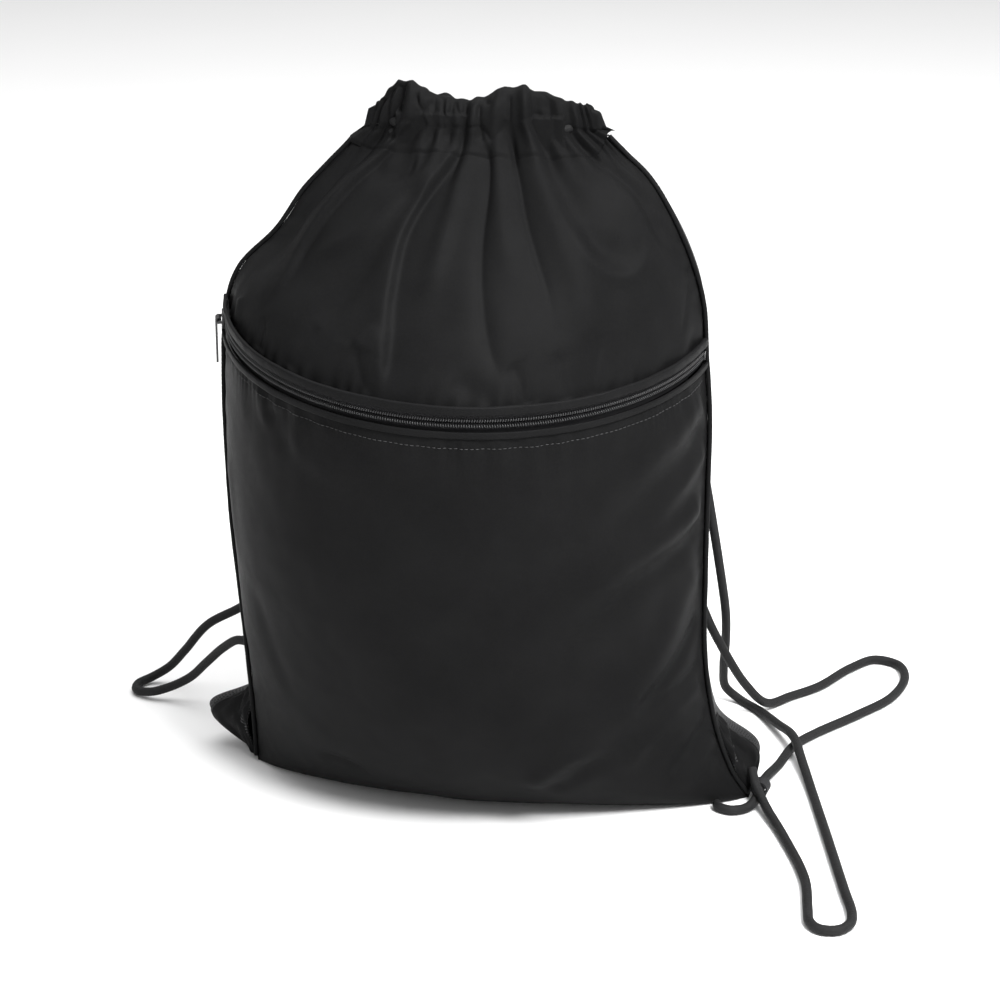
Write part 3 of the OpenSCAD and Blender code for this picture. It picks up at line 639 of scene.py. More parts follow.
# The folds of the upper front, from the gathered neck down to the zip.
YOKE_FOLDS = [
    ("dip", (5.0, 4.0), 17, (0.1, 0.3), [
        (-0.55, 17.8), (-0.634, 14.96), (-0.798, 13.35), (-0.817, 12.37), (-0.848, 11.5),
        (-0.812, 10.6), (-0.746, 9.9)]),
    ("lap", (4.5, 3.0), 15, (0.15, 0.35), [
        (-0.387, 15.55), (-0.501, 14.42), (-0.602, 13), (-0.646, 11.95), (-0.671, 11.18),
        (-0.642, 10.51), (-0.654, 9.76)]),
    ("ridge", (2.4, 1.8), 7, (0.25, 0.3), [
        (-0.168, 13.79), (-0.274, 13.09), (-0.399, 11.95), (-0.565, 11.35), (-0.691, 11.05)]),
    ("dip", (3.8, 3.2), 13, (0.15, 0.3), [
        (-0.249, 13.5), (-0.279, 12.58), (-0.317, 11.8), (-0.355, 11.2), (-0.38, 10.7), (-0.419, 10.1),
        (-0.474, 9.65)]),
    ("lap", (5.5, 3.2), 16, (0.12, 0.12), [
        (-0.098, 14.64), (-0.145, 13.72), (-0.201, 12.9), (-0.228, 12.15), (-0.227, 11.5),
        (-0.202, 10.86), (-0.152, 10.21), (-0.12, 9.32)]),
    ("crease", (6.0, 3.0), 6, (0.1, 0.5), [
        (-0.1, 17.8), (-0.089, 14.72), (-0.112, 13.7), (-0.135, 12.9)]),
    ("ridge", (4.5, 2.0), 8, (0.02, 0.4), [
        (-0.03, 17.8), (-0.051, 14.73), (-0.072, 13.5), (-0.072, 12.45), (-0.091, 11.36),
        (-0.074, 10.27)]),
    ("crease", (5.5, 2.6), 7, (0.12, 0.2), [
        (0.016, 14.95), (0.05, 14.22), (0.061, 13.32), (0.068, 12.07), (0.087, 11.2), (0.144, 10.33),
        (0.22, 9.5)]),
    ("ridge", (5.0, 1.4), 10, (0.02, 0.4), [
        (0.11, 17.8), (0.108, 15.19), (0.094, 14.1), (0.117, 12.63), (0.164, 11.6), (0.2, 10.87)]),
    ("crease", (5.0, 1.8), 7, (0.05, 0.3), [
        (0.184, 15.6), (0.185, 14.4), (0.199, 13.5), (0.223, 12.6), (0.266, 11.8), (0.314, 11.04),
        (0.353, 10.26)]),
    ("ridge", (4.6, 2.8), 13, (0.02, 0.25), [
        (0.29, 17.8), (0.284, 15.2), (0.279, 13.97), (0.335, 12.58), (0.411, 11.52), (0.459, 10.73),
        (0.47, 9.5)]),
    ("dip", (4.0, 2.0), 13, (0.05, 0.35), [
        (0.45, 17.8), (0.395, 14.91), (0.4, 13.4), (0.468, 12.4), (0.57, 11.65)]),
    ("ridge", (2.0, 2.2), 6, (0.35, 0.3), [
        (0.356, 12.7), (0.442, 11.75), (0.548, 11.26), (0.643, 11.16), (0.743, 11.42), (0.781, 11.9)]),
    ("dip", (2.2, 1.6), 9, (0.3, 0.4), [(0.448, 12.3), (0.531, 11.75), (0.624, 11.6), (0.678, 11.8)]),
    ("dip", (2.5, 2.5), 8, (0.1, 0.3), [
        (0.569, 15.6), (0.662, 14.2), (0.821, 12.83), (0.858, 11.62), (0.907, 10.56)]),
    ("crease", (3.4, 2.4), 5, (0.1, 0.2), [
        (-0.334, 15.6), (-0.395, 14.9), (-0.482, 14.55), (-0.578, 14.6)]),
    ("dip", (3.0, 2.0), 7, (0.15, 0.3), [(-0.299, 13.8), (-0.39, 13.45), (-0.49, 13.3), (-0.576, 13.4)]),
    ("ridge", (3.0, 2.0), 7, (0.02, 0.3), [(-0.4, 17.8), (-0.425, 15.4), (-0.492, 14.9)]),
    ("crease", (3.0, 2.0), 4, (0.02, 0.3), [(-0.245, 17.8), (-0.219, 15.23), (-0.181, 14.1)]),
    ("crease", (3.0, 2.0), 4, (0.02, 0.3), [(-0.185, 17.8), (-0.179, 15.24), (-0.148, 14.1)]),
    ("crease", (3.0, 2.4), 5, (0.02, 0.3), [(-0.32, 17.8), (-0.285, 15.2), (-0.239, 14.3)]),
    ("lap", (2.2, 1.2), 9, (0.2, 0.3), [(-0.251, 9.95), (-0.246, 10.15), (-0.191, 10.5)]),
    ("crease", (2.4, 1.2), 5, (0.2, 0.2), [(-0.236, 10), (-0.204, 9.6), (-0.16, 9.25)]),
    ("dip", (1.8, 1.6), 7, (0.3, 0.3), [(0.045, 9.7), (0.115, 9.55), (0.2, 9.25)]),
    ("crease", (1.8, 1.6), 6, (0.2, 0.1), [(0.22, 10), (0.259, 9.61), (0.28, 9.2)]),
    ("crease", (2.0, 1.2), 5, (0.3, 0.1), [(0.355, 10.16), (0.377, 9.66), (0.4, 9.2)]),
    ("crease", (2.0, 1.2), 5, (0.3, 0.1), [(0.499, 10.3), (0.489, 9.8), (0.48, 9.2)]),
    ("crease", (2.0, 1.4), 5, (0.2, 0.1), [(-0.393, 10.2), (-0.425, 9.8), (-0.45, 9.25)]),
    ("crease", (1.6, 1.4), 5, (0.2, 0.1), [(-0.625, 9.9), (-0.603, 9.6), (-0.6, 9.25)]),
    ("ridge", (1.6, 1.4), 5, (0.2, 0.2), [(-0.825, 9.8), (-0.8, 9.5), (-0.8, 9.25)]),
    ("crease", (1.8, 1.0), 5, (0.2, 0.2), [(0.985, 10.9), (0.885, 10.2), (0.824, 9.7)]),
    ("crease", (2.0, 2.0), 1.7, (0.04, 0.04), SEAM_LINE),
    ("crease", (2.6, 2.6), 3, (0.2, 0.2), [(0.03, 17.1), (0.07, 16.6), (0.1, 16.9), (0.095, 17.4)]),
    ("crease", (3.4, 2.6), 3.4, (0.2, 0.2), [(-0.45, 16.8), (-0.38, 16), (-0.33, 16.5), (-0.34, 17.2)]),
    ("crease", (2.8, 2.8), 2.8, (0.2, 0.2), [
        (-0.3, 17.2), (-0.26, 17.4), (-0.24, 16.3), (-0.218, 15.9), (-0.205, 16.5)]),
    ("crease", (2.8, 2.2), 2.8, (0.2, 0.2), [(-0.17, 17.3), (-0.125, 16.3), (-0.1, 16.5)]),
    ("crease", (3.8, 3.4), 3.6, (0.15, 0.25), [(0, 17), (0.012, 15.43), (0.029, 14.58)]),
    ("crease", (3.6, 3.0), 3.6, (0.15, 0.3), [
        (0.2, 17), (0.196, 15.66), (0.191, 15.03), (0.186, 13.69)]),
    ("crease", (3.0, 2.4), 3.4, (0.05, 0.3), [(0.34, 17.8), (0.353, 15.9), (0.35, 15.14)]),
    ("crease", (5.0, 5.0), 4.5, (0.15, 0.2), [
        (-0.88, 16.5), (-0.76, 16.9), (-0.62, 17.1), (-0.5, 17.3)]),
    ("crease", (4.2, 3.4), 6, (0.15, 0.15), [
        (-0.591, 14.6), (-0.508, 14.66), (-0.434, 14.8), (-0.39, 15.4), (-0.37, 16)]),
]
# The folds of the pocket, below the zip.
POCKET_FOLDS = [
    ("ridge", (1.7, 1.2), 9, (0.3, 0.4), [(-0.44, 8.5), (-0.38, 8.2), (-0.3, 8.06), (-0.2, 8.08)]),
    ("dip", (1.6, 1.0), 8, (0.2, 0.4), [(-0.5, 8.6), (-0.47, 8.2), (-0.44, 7.9)]),
    ("ridge", (1.3, 1.0), 5, (0.2, 0.4), [(-0.56, 8.75), (-0.55, 8.4), (-0.52, 8.1)]),
    ("ridge", (3.0, 1.0), 12, (0.1, 0.5), [
        (0.96, 8.5), (0.84, 8.25), (0.65, 8.05), (0.5, 7.75), (0.38, 7.4)]),
    ("dip", (2.4, 1.0), 9, (0.1, 0.4), [
        (0.97, 8.05), (0.86, 7.85), (0.72, 7.65), (0.58, 7.35), (0.46, 7.0)]),
    ("ridge", (1.8, 0.6), 7, (0.1, 0.5), [(0.98, 7.6), (0.86, 7.45), (0.7, 7.2), (0.58, 6.95)]),
    ("ridge", (4.2, 1.6), 10, (0.1, 0.35), [
        (0.97, 7.0), (0.85, 6.92), (0.66, 6.85), (0.49, 6.66), (0.34, 6.45), (0.22, 6.28)]),
    ("dip", (3.0, 2.6), 9, (0.1, 0.3), [
        (0.97, 6.7), (0.83, 6.56), (0.63, 6.45), (0.48, 6.14), (0.37, 5.87), (0.3, 5.55)]),
    ("ridge", (3.2, 2.0), 14, (0.1, 0.3), [
        (0.97, 6.2), (0.84, 5.95), (0.76, 5.6), (0.66, 5.3), (0.55, 4.95), (0.42, 4.6), (0.28, 4.1)]),
    ("dip", (2.6, 2.2), 7, (0.1, 0.3), [(0.97, 5.55), (0.86, 5.31), (0.68, 4.95), (0.56, 4.7)]),
    ("crease", (2.4, 1.4), 6, (0.05, 0.4), [(0.98, 4.95), (0.86, 4.9), (0.7, 4.84), (0.58, 4.66)]),
    ("ridge", (2.2, 1.8), 7, (0.1, 0.3), [
        (0.97, 4.65), (0.84, 4.6), (0.7, 4.45), (0.58, 4.15), (0.48, 3.7)]),
    ("ridge", (2.4, 1.8), 7, (0.2, 0.4), [(0.18, 3.5), (0.24, 3.85), (0.34, 4.25), (0.48, 4.5)]),
    ("dip", (2.0, 1.6), 6, (0.2, 0.4), [(0.24, 3.35), (0.32, 3.75), (0.42, 4.1), (0.52, 4.3)]),
    ("dip", (2.2, 1.8), 6, (0.1, 0.3), [(0.99, 4.1), (0.86, 3.95), (0.72, 3.65), (0.6, 3.2)]),
    ("ridge", (2.0, 1.6), 7, (0.1, 0.3), [(0.99, 3.8), (0.88, 3.6), (0.76, 3.3), (0.66, 3.0)]),
    ("crease", (2.4, 1.6), 5, (0.3, 0.3), [(-0.5, 3.6), (-0.42, 3.75), (-0.34, 3.7), (-0.28, 3.45)]),
    ("ridge", (1.6, 1.2), 10, (0.3, 0.4), [(-0.86, 7.4), (-0.84, 6.6), (-0.8, 5.8)]),
    ("dip", (1.4, 1.2), 10, (0.3, 0.4), [(-0.7, 6.0), (-0.6, 5.2), (-0.5, 4.4)]),
]


def puckers(x, y, edge, size, depth, seed, wave=8.0):
    """Small gathers that stand across a seam at y = edge and fade out from it."""
    wobble = smooth_noise(x, y * 0 + edge, wave * 2.2, seed) * wave * 0.8
    row = np.sin(2 * np.pi * (x + wobble) / wave + 2.0 * smooth_noise(x, y, wave * 3, seed + 1))
    share = np.clip(0.55 + 0.9 * smooth_noise(x, y * 0, wave * 4, seed + 2), 0, 1.4)
    return depth * share * row * np.exp(-np.abs(y - edge) / size)


SEAM_V = 8.62  # the level of the stitching under the pocket's hem
WELT_V = 9.2


def front_relief(u, v):
    """How far the front's cloth stands off its even surface, in mm."""
    x, y = u * HALF_CLOTH, front_climb(v)
    seam, welt = front_climb(SEAM_V), front_climb(WELT_V)
    above = v >= ZIP_LEVEL
    yoke_h, pocket_h = (fold_field(x, y, folds, front_climb) for folds in (YOKE_FOLDS, POCKET_FOLDS))
    h = np.where(above, yoke_h, pocket_h)
    at_welt = puckers(x, y, welt, 7, 0.9, 11, 11.0) + puckers(x, y, welt, 15, 0.8, 14, 23.0)
    at_hem = puckers(x, y, seam, 6, 0.35, 17, 6.5) + puckers(x, y, seam, 16, 0.55, 20, 19.0)
    h = h + np.where(above, at_welt, at_hem)
    side = np.abs(u) * HALF_CLOTH
    amount = np.where(u > 0, 1.0, 0.55)
    h = h + amount * puckers(y + 0.35 * side, side, HALF_CLOTH, 7, 0.75, 23, 12.0)
    h = h + amount * puckers(y + 0.5 * side, side, HALF_CLOTH, 16, 0.8, 26, 27.0)
    for height, size, seed in ((0.9, 62, 31), (0.38, 27, 32), (0.12, 11, 33)):
        h = h + height * smooth_noise(x, y, size, seed)
    neck = ease((v - 12.8) / 2.2)
    gathers = 1.1 * np.sin(2 * np.pi * (x + 9 * smooth_noise(x, y, 55, 35)) / 27)
    h = h + neck * (gathers + 0.3 * smooth_noise(x, y * 0.35, 11, 36))
    # Flat where it is sewn: at the side seams, at the zip and on the floor.
    at_zip = 0.25 + 0.75 * ease(np.abs(v - 8.95) / 0.32)
    held = ease((1 - np.abs(u)) / 0.035) * at_zip * ease((v - 1.0) / 1.6)
    return h * held


def flap_v(side):
    """The level of the channel's lower edge: on the right it lifts off the net."""
    return 14.05 + 0.85 * ease((side - 0.62) / 0.4)


def yoke_relief(u, v):
    """The upper front dips in under the channel's lower edge."""
    return front_relief(u, v) - 0.9 * ease((v - flap_v(u)) / 0.25)


STEP = 1.25 if FINE == 1 else 3.0


def lay_grid(surface, relief, sides, levels, table, lift=0.0):
    """A surface's grid with its relief, and where each point is on the flat cloth."""
    s, v = np.meshgrid(sides, levels)
    p = surface(s, v)
    n = grid_normals(p)
    height = relief(s, v) + lift
    p = p + n * height[..., None]
    p[..., 2] = np.maximum(p[..., 2], 0.0)
    flat = np.stack([s * HALF_CLOTH, np.interp(v, TABLE_V, table)], -1)
    return p, flat


def solid_sheet(name, p, flat, thick, material, nodes):
    n = grid_normals(p)
    down = p - n * thick
    down[..., 2] = np.maximum(down[..., 2], 0.0)
    floor = (p[..., 2] < 0.02) & (down[..., 2] < 0.3)
    down[..., 2] = np.where(floor, 0.6, down[..., 2])
    points, faces = closed_sheet(p, down)
    weave = np.concatenate([flat.reshape(-1, 2)] * 2)
    return finish_piece(new_mesh(name, points, faces, weave), ROOT, material, nodes)


def cloth_sides(step, reach=0.995):
    return np.linspace(-reach, reach, round(2 * HALF_CLOTH / step) + 1)


# Pocket panel, from under the sack up to the hem.
levels = levels_between(0.0, 8.825, FRONT_CLIMB, STEP)
grid, flat = lay_grid(front_at, front_relief, cloth_sides(STEP), levels, FRONT_CLIMB)
pocket = solid_sheet("satin_pocket", grid, flat, 0.7, SATIN, ["pocket_panel"])

# Yoke, from the zip up to the channel.
levels = levels_between(WELT_V, NECK_LEVEL + 1.05, FRONT_CLIMB, STEP)
grid, flat = lay_grid(front_at, yoke_relief, cloth_sides(STEP), levels, FRONT_CLIMB)
yoke = solid_sheet("satin_yoke", grid, flat, 0.7, SATIN, ["front_yoke"])

# Backing of the pocket, inside the sack.
BACKING_STEP, BACKING_LIFT, BACKING_FLOOR = 6.0, -4.9, 4.2


def backing_relief(u, v):
    return 0.35 * smooth_noise(u * HALF_CLOTH, front_climb(v), 40, 41)


levels = levels_between(0.0, 9.1, FRONT_CLIMB, BACKING_STEP)
sides = cloth_sides(BACKING_STEP, 0.92)
grid, flat = lay_grid(front_at, backing_relief, sides, levels, FRONT_CLIMB, BACKING_LIFT)
grid[..., 2] = np.maximum(grid[..., 2], BACKING_FLOOR)
backing = solid_sheet("satin_backing", grid, flat, 0.7, SATIN, ["pocket_backing"])


# ---- Back ----
HALF_BACK = 300.0  # mm round the back from its middle to a seam, for its folds
BACK_FOLDS = [
    ("dip", (5, 3), 16, (0.05, 0.35), [(0.55, 17.8), (0.58, 14), (0.62, 12.5), (0.66, 11), (0.68, 9.5)]),
    ("ridge", (5, 2), 14, (0.05, 0.4), [(0.36, 17.8), (0.38, 14), (0.4, 12.5), (0.42, 11)]),
    ("crease", (6, 2), 9, (0.02, 0.4), [(0.2, 17.8), (0.2, 14), (0.22, 12.2), (0.24, 10.4), (0.2, 8.4)]),
    ("ridge", (5, 2), 13, (0.02, 0.4), [(0.05, 17.8), (0.05, 14), (0.03, 12.4), (0.0, 10.5)]),
    ("crease", (6, 2.5), 10, (0.02, 0.4), [
        (-0.1, 17.8), (-0.1, 14), (-0.13, 12.2), (-0.18, 10.2), (-0.2, 8)]),
    ("ridge", (5, 3), 14, (0.02, 0.4), [
        (-0.25, 17.8), (-0.26, 14), (-0.3, 12.4), (-0.36, 10.6), (-0.4, 9)]),
    ("dip", (5, 3), 15, (0.02, 0.4), [(-0.42, 17.8), (-0.44, 14), (-0.5, 12), (-0.56, 10)]),
    ("ridge", (4, 2), 14, (0.02, 0.4), [(-0.62, 17.8), (-0.64, 14), (-0.68, 12), (-0.7, 10)]),
    ("ridge", (3, 2), 18, (0.3, 0.3), [(0.75, 4.5), (0.5, 5.2), (0.25, 5.6), (0.0, 5.7)]),
    ("dip", (3, 2), 16, (0.3, 0.3), [(-0.72, 4.6), (-0.5, 5.4), (-0.3, 6.2), (-0.1, 6.8)]),
    ("ridge", (2.5, 2), 15, (0.3, 0.3), [(-0.6, 4.2), (-0.35, 4.6), (-0.1, 4.7)]),
]


def back_relief(w, v):
    x, y = w * HALF_BACK, back_climb(v)
    h = fold_field(x, y, BACK_FOLDS, back_climb, HALF_BACK)
    h = h + puckers(y, np.abs(w) * HALF_BACK, HALF_BACK, 9, 0.6, 51, 14.0)
    h = h + 1.1 * smooth_noise(x, y, 75, 52) + 0.4 * smooth_noise(x, y, 30, 53)
    neck = ease((v - 12.6) / 2.2)
    gathers = 1.6 * np.sin(2 * np.pi * (x + 12 * smooth_noise(x, y, 70, 54)) / 40)
    h = h + neck * (gathers + 0.4 * smooth_noise(x, y * 0.3, 13, 55))
    return h * ease((1 - np.abs(w)) / 0.03) * ease((v - 1.2) / 2.4)


def back_sides(step, reach=0.985):
    """Even steps along the back from the right seam to the left one."""
    w = np.linspace(reach, -reach, 801)
    p = back_at(w, np.full_like(w, 7.0))
    along = distance_along(p)
    return np.interp(np.linspace(0, along[-1], round(along[-1] / step) + 1), along, w), along[-1]


BACK_STEP = 1.9 if FINE == 1 else 4.0
sides, BACK_CLOTH = back_sides(BACK_STEP)
levels = levels_between(0.0, NECK_LEVEL + 0.15, BACK_CLIMB, BACK_STEP)
grid, flat = lay_grid(back_at, back_relief, sides, levels, BACK_CLIMB)
flat[..., 0] = np.linspace(0, BACK_CLOTH, len(sides))
net = solid_sheet("net_back", grid, flat, 0.8, NET, ["back_mesh"])


def patch(name, side, node):
    """A satin corner sewn over the net, with a rounded upper fold."""
    rows, cols = (70, 60) if FINE == 1 else (30, 24)
    t, s = np.meshgrid(np.linspace(0, 1, rows), np.linspace(0, 1, cols), indexing="ij")
    v = 1.95 + 2.05 * t
    w = side * (0.992 - s * (0.314 - 0.055 * v))
    if side < 0:
        w, v, s, t = w[:, ::-1], v[:, ::-1], s[:, ::-1], t[:, ::-1]
    p = back_at(w, v)
    n = grid_normals(p)
    edge = ease(np.minimum.reduce([t / 0.12, (1 - t) / 0.1, (1 - s) / 0.12, s / 0.06]))
    x, y = s * 60, back_climb(v)
    crumple = 1.2 + 1.4 * smooth_noise(x, y, 17, 61 + side) + 0.7 * smooth_noise(x, y, 8, 63 + side)
    height = 0.9 + 1.0 * ease(s / 0.1) + edge * crumple
    fold_up = np.exp(-(((y - back_climb(3.35) - 0.4 * x) / 5.0) ** 2))
    fold_down = np.exp(-(((y - back_climb(3.0) - 0.5 * x) / 4.0) ** 2))
    height = height + edge * 1.6 * fold_up - edge * 1.6 * fold_down
    p = p + n * height[..., None]
    p[..., 2] = np.maximum(p[..., 2], 0.3)
    return solid_sheet(name, p, np.stack([x, y], -1), 0.7, SATIN, [node])


corner_left = patch("satin_corner_left", -1, "corner_patch_left")
corner_right = patch("satin_corner_right", 1, "corner_patch_right")


# ---- Gathered channel round the neck ----
def rim_height(x):
    """The rim rises and falls with the gathers; x is from the neck's middle."""
    knots = [-62, -56, -50, -41, -31, -20, -7, 2, 8.6, 14, 26, 36, 45, 58, 62]
    rise = [-9, 0, 6, 5.5, -0.6, -2.5, -4.5, -2.5, 1.4, 4.2, 4.7, 2, -1.2, -5.2, -7]
    return np.interp(x, knots, rise)


# The wall above its fullest level, round the rim and down the inside, as rows of
# height, share of its depth and of its width, level of its folds, share of the
# rim's rise and share of its folds' height.
WALL_TOP_V = 15.4
RIM = np.array([
    [430.2, 1.00, 1.000, 15.4, 0.50, 1.0], [434.0, 0.975, 0.994, 15.8, 0.66, 1.0],
    [437.8, 0.90, 0.982, 16.2, 0.80, 1.0], [441.0, 0.78, 0.968, 16.6, 0.92, 1.0],
    [443.8, 0.62, 0.955, 17.0, 1.00, 1.0], [445.3, 0.45, 0.945, 17.4, 1.00, 0.9],
    [445.6, 0.32, 0.937, 17.7, 1.00, 0.7], [444.6, 0.22, 0.930, 18.0, 1.00, 0.4],
    [441.5, 0.17, 0.925, 18.0, 0.95, 0.2], [434.0, 0.15, 0.920, 18.0, 0.80, 0.1],
    [426.0, 0.17, 0.920, 18.0, 0.50, 0.0], [419.0, 0.30, 0.935, 18.0, 0.20, 0.0],
    [415.2, 0.60, 0.965, 18.0, 0.00, 0.0]])


def tunnel_end(column, inner):
    """The open ends turn in on themselves, so that the tunnel shows."""
    middle = column.mean(0)
    inward = (inner.mean(0) - middle) / np.linalg.norm(inner.mean(0) - middle)
    near = middle + (column - middle) * 0.8
    return near, near + inward * 9.0


def neck_piece(name, back, nodes, reach):
    """Half of the channel: a wall of cloth, folded in round the cords at its rim."""
    surface, relief = (back_at, back_relief) if back else (front_at, front_relief)
    cols, rows = (300, 26) if FINE == 1 else (130, 12)
    side = np.linspace(-reach, reach, cols)
    low = np.full(cols, 14.05) if back else flap_v(side)
    share = np.linspace(0, 1, rows, endpoint=False)[:, None]
    wall_v = low + (WALL_TOP_V - low) * share
    unit = np.array([1, 16, 60, 3, 3, 3])
    rim = smooth_route(RIM * unit, 1.0 if FINE == 1 else 2.2) / unit
    wall = surface(np.broadcast_to(side, wall_v.shape), wall_v)
    outline = surface(side, np.full(cols, WALL_TOP_V))
    outward = 1 if back else -1
    neck_x = level(WALL_TOP_V)[1]
    fold = surface(side, np.full(cols, WALL_TOP_V)) - surface(side * 0, np.full(cols, WALL_TOP_V))
    height = rim[:, :1] + fold[None, :, 2] - (4.6 * ease((rim[:, :1] - 428) / 10) if back else 0)
    height = np.maximum(height, wall[0, :, 2] + 2.0)
    over = np.stack([
        neck_x + (outline[None, :, 0] - neck_x) * rim[:, 2:3],
        outward + (outline[None, :, 1] - outward) * rim[:, 1:2], height], -1)
    p = np.concatenate([wall, over])
    level_at = np.concatenate([wall_v, np.broadcast_to(rim[:, 3:4], over.shape[:2])])
    crest = np.concatenate([0.5 * share * np.ones(cols), np.broadcast_to(rim[:, 4:5], over.shape[:2])])
    folds = np.concatenate([np.ones(wall_v.shape), np.broadcast_to(rim[:, 5:6], over.shape[:2])])
    n = grid_normals(p)
    if back:
        n = -n
    s = np.broadcast_to(side, level_at.shape)
    x = p[..., 0] - neck_x
    p[..., 2] += crest * rim_height(x) * (0.75 if back else 1.0)
    climb = ease((level_at - low) / 0.25)
    end = ease((np.abs(s) - 0.78) / 0.2)
    upper = ease((level_at - low) / (LAST - low))
    flare = 2.2 if back else np.where(s > 0, 2.4, 1.8)
    lift = (0.9 if back else -0.35) + 1.3 * climb + flare * end * (1 - 0.8 * upper)
    if not back:
        lift = lift + 1.4 * ease((s - 0.66) / 0.2) * (1 - climb)
    puff = relief(np.clip(s, -0.96, 0.96), level_at) * (1 - 0.45 * ease((level_at - 16.4) / 1.0))
    lift = np.where(folds > 0.05, lift, 0)
    p = p + n * (folds * puff + lift)[..., None]
    # The cords inside hold the wall out.
    run = np.array(RUN[10:] if back else RUN[7::-1])
    run = run[np.argsort(run[:, 0])]
    keep = np.interp(p[..., 0] - neck_x, run[:, 0], run[:, 1]) + outward * (CORD_R + 0.9)
    beside = (folds > 0.9) & (np.abs(p[..., 0] - neck_x) < 50) & (np.abs(p[..., 2] - 425) < 10.5)
    out = (p[..., 1] - keep) * outward
    soft = np.where(out > 1.6, out, 0.8 * np.log1p(np.exp(np.clip(out / 0.8, -30, 30))))
    p[..., 1] = np.where(beside, keep + soft * outward, p[..., 1])
    ring = len(p)
    columns = np.moveaxis(p, 1, 0)
    near0, deep0 = tunnel_end(columns[0], columns[3])
    near1, deep1 = tunnel_end(columns[-1], columns[-4])
    columns = np.concatenate([[deep0, near0], columns, [near1, deep1]])
    total = len(columns)
    points = np.concatenate([columns.reshape(-1, 3), [deep0.mean(0), deep1.mean(0)]])
    faces = tube_faces(total, ring)
    if not back:
        faces = faces[:, ::-1]
    flat = np.zeros((len(points), 2))
    flat[:total * ring, 0] = np.repeat(np.linspace(0, 2 * reach * HALF_CLOTH, total), ring)
    flat[:total * ring, 1] = np.tile(np.linspace(0, 62, ring), total)
    return finish_piece(new_mesh(name, points, faces, flat), ROOT, SATIN, nodes)


channel_front = neck_piece("satin_channel_front", False, ["channel_front"], 1.32)
channel_back = neck_piece("satin_channel_back", True, ["channel_back"], 0.62)


# ---- The net's knitted edge beside each seam ----
def net_edge(name, side):
    """Two rows of slanting loops of yarn, on the net next to the piping."""
    pitch = 2.0 if FINE == 1 else 4.0
    levels = levels_between(2.3, NECK_LEVEL + (0.8 if side > 0 else 0.2), BACK_CLIMB, pitch)
    rings, sides = 5, 6
    t = np.linspace(0, 1, rings)
    points, faces, count = [], [], 0
    for row, (w0, w1) in enumerate(((0.992, 0.975), (0.972, 0.955))):
        for v in levels:
            slant = 0.6 * pitch * (1 if row else -1)
            climb = back_climb(v) + slant * (t - 0.5) + 0.3 * smooth_noise(v * 40, row * 9.0, 3, 121)
            vv = np.interp(climb, BACK_CLIMB, TABLE_V)
            w = side * (w0 + (w1 - w0) * t)
            base = back_at(w, vv)
            d = 0.003
            along = back_at(w - d, vv) - back_at(w + d, vv)
            up = back_at(w, vv + d) - back_at(w, vv)
            n = np.cross(along, up)
            n /= np.linalg.norm(n, axis=1, keepdims=True)
            base = base + n * (0.5 + 0.45 * np.sin(np.pi * t))[:, None]
            ahead = np.gradient(base, axis=0)
            ahead /= np.linalg.norm(ahead, axis=1, keepdims=True)
            aside = np.cross(ahead, n)
            thick = 0.55 * np.sin(np.clip(np.pi * t, 0.6, np.pi - 0.6)) ** 0.5
            points.append(rod_points(base, aside, n, thick, sides))
            faces.append(tube_faces(rings, sides, count))
            count += rings * sides + 2
    return finish_piece(new_mesh(name, np.concatenate(points), np.concatenate(faces)), ROOT, YARN)


net_edge("net_edge_left", -1)
net_edge("net_edge_right", 1)


# ---- Piping, zip and stitching ----
def seam_line(side, v0, v1, out, step=1.5):
    v = levels_between(v0, v1, FRONT_CLIMB, step)
    p = front_at(np.full_like(v, float(side)), v)
    return p + np.array([side * out, 0, 0])


def piping(name, side, node):
    line = seam_line(side, 2.0, NECK_LEVEL + (0.85 if side > 0 else 0.25), 1.6, 1.0 if FINE == 1 else 2.5)
    along = np.arange(len(line)) * 1.0
    line[:, 1] += 0.25 * smooth_noise(along, along * 0, 19, 91)
    relief = lambda a, s: 0.10 * smooth_noise(a * 2, s, 9, 92) + 0.05 * np.sin(2 * np.pi * s / 2.6)
    points, faces, weave = tube(line, 1.45, 14, relief)
    return finish_piece(new_mesh(name, points, faces, weave), ROOT, SATIN_PAINTED_HIGHLIGHT, [node])


piping("piping_left_cord", -1, "piping_left")
piping("piping_right_cord", 1, "piping_right")

ZIP_DEPTH = ZIP_R * math.cos(SWEEP)
ZIP_CENTRE = np.array([ZIP_SHIFT, ZIP_DEPTH * math.cos(ZIP_LEAN), ZIP_Z + ZIP_DEPTH * math.sin(ZIP_LEAN)])


def zip_turn():
    b, a = math.atan(ZIP_SKEW), ZIP_LEAN
    about_y = np.array([[math.cos(b), 0, math.sin(b)], [0, 1, 0], [-math.sin(b), 0, math.cos(b)]])
    about_x = np.array([[1, 0, 0], [0, math.cos(a), -math.sin(a)], [0, math.sin(a), math.cos(a)]])
    return about_y @ about_x


ZIP_TURN = zip_turn()


def on_zip(degrees, out, height):
    """A point beside the zip: out from its arc and up from its middle, in mm."""
    a = np.radians(np.asarray(degrees, float))
    r = ZIP_R + out
    local = np.stack([r * np.sin(a), -r * np.cos(a), np.broadcast_to(height, a.shape)], -1)
    return local @ ZIP_TURN.T + ZIP_CENTRE


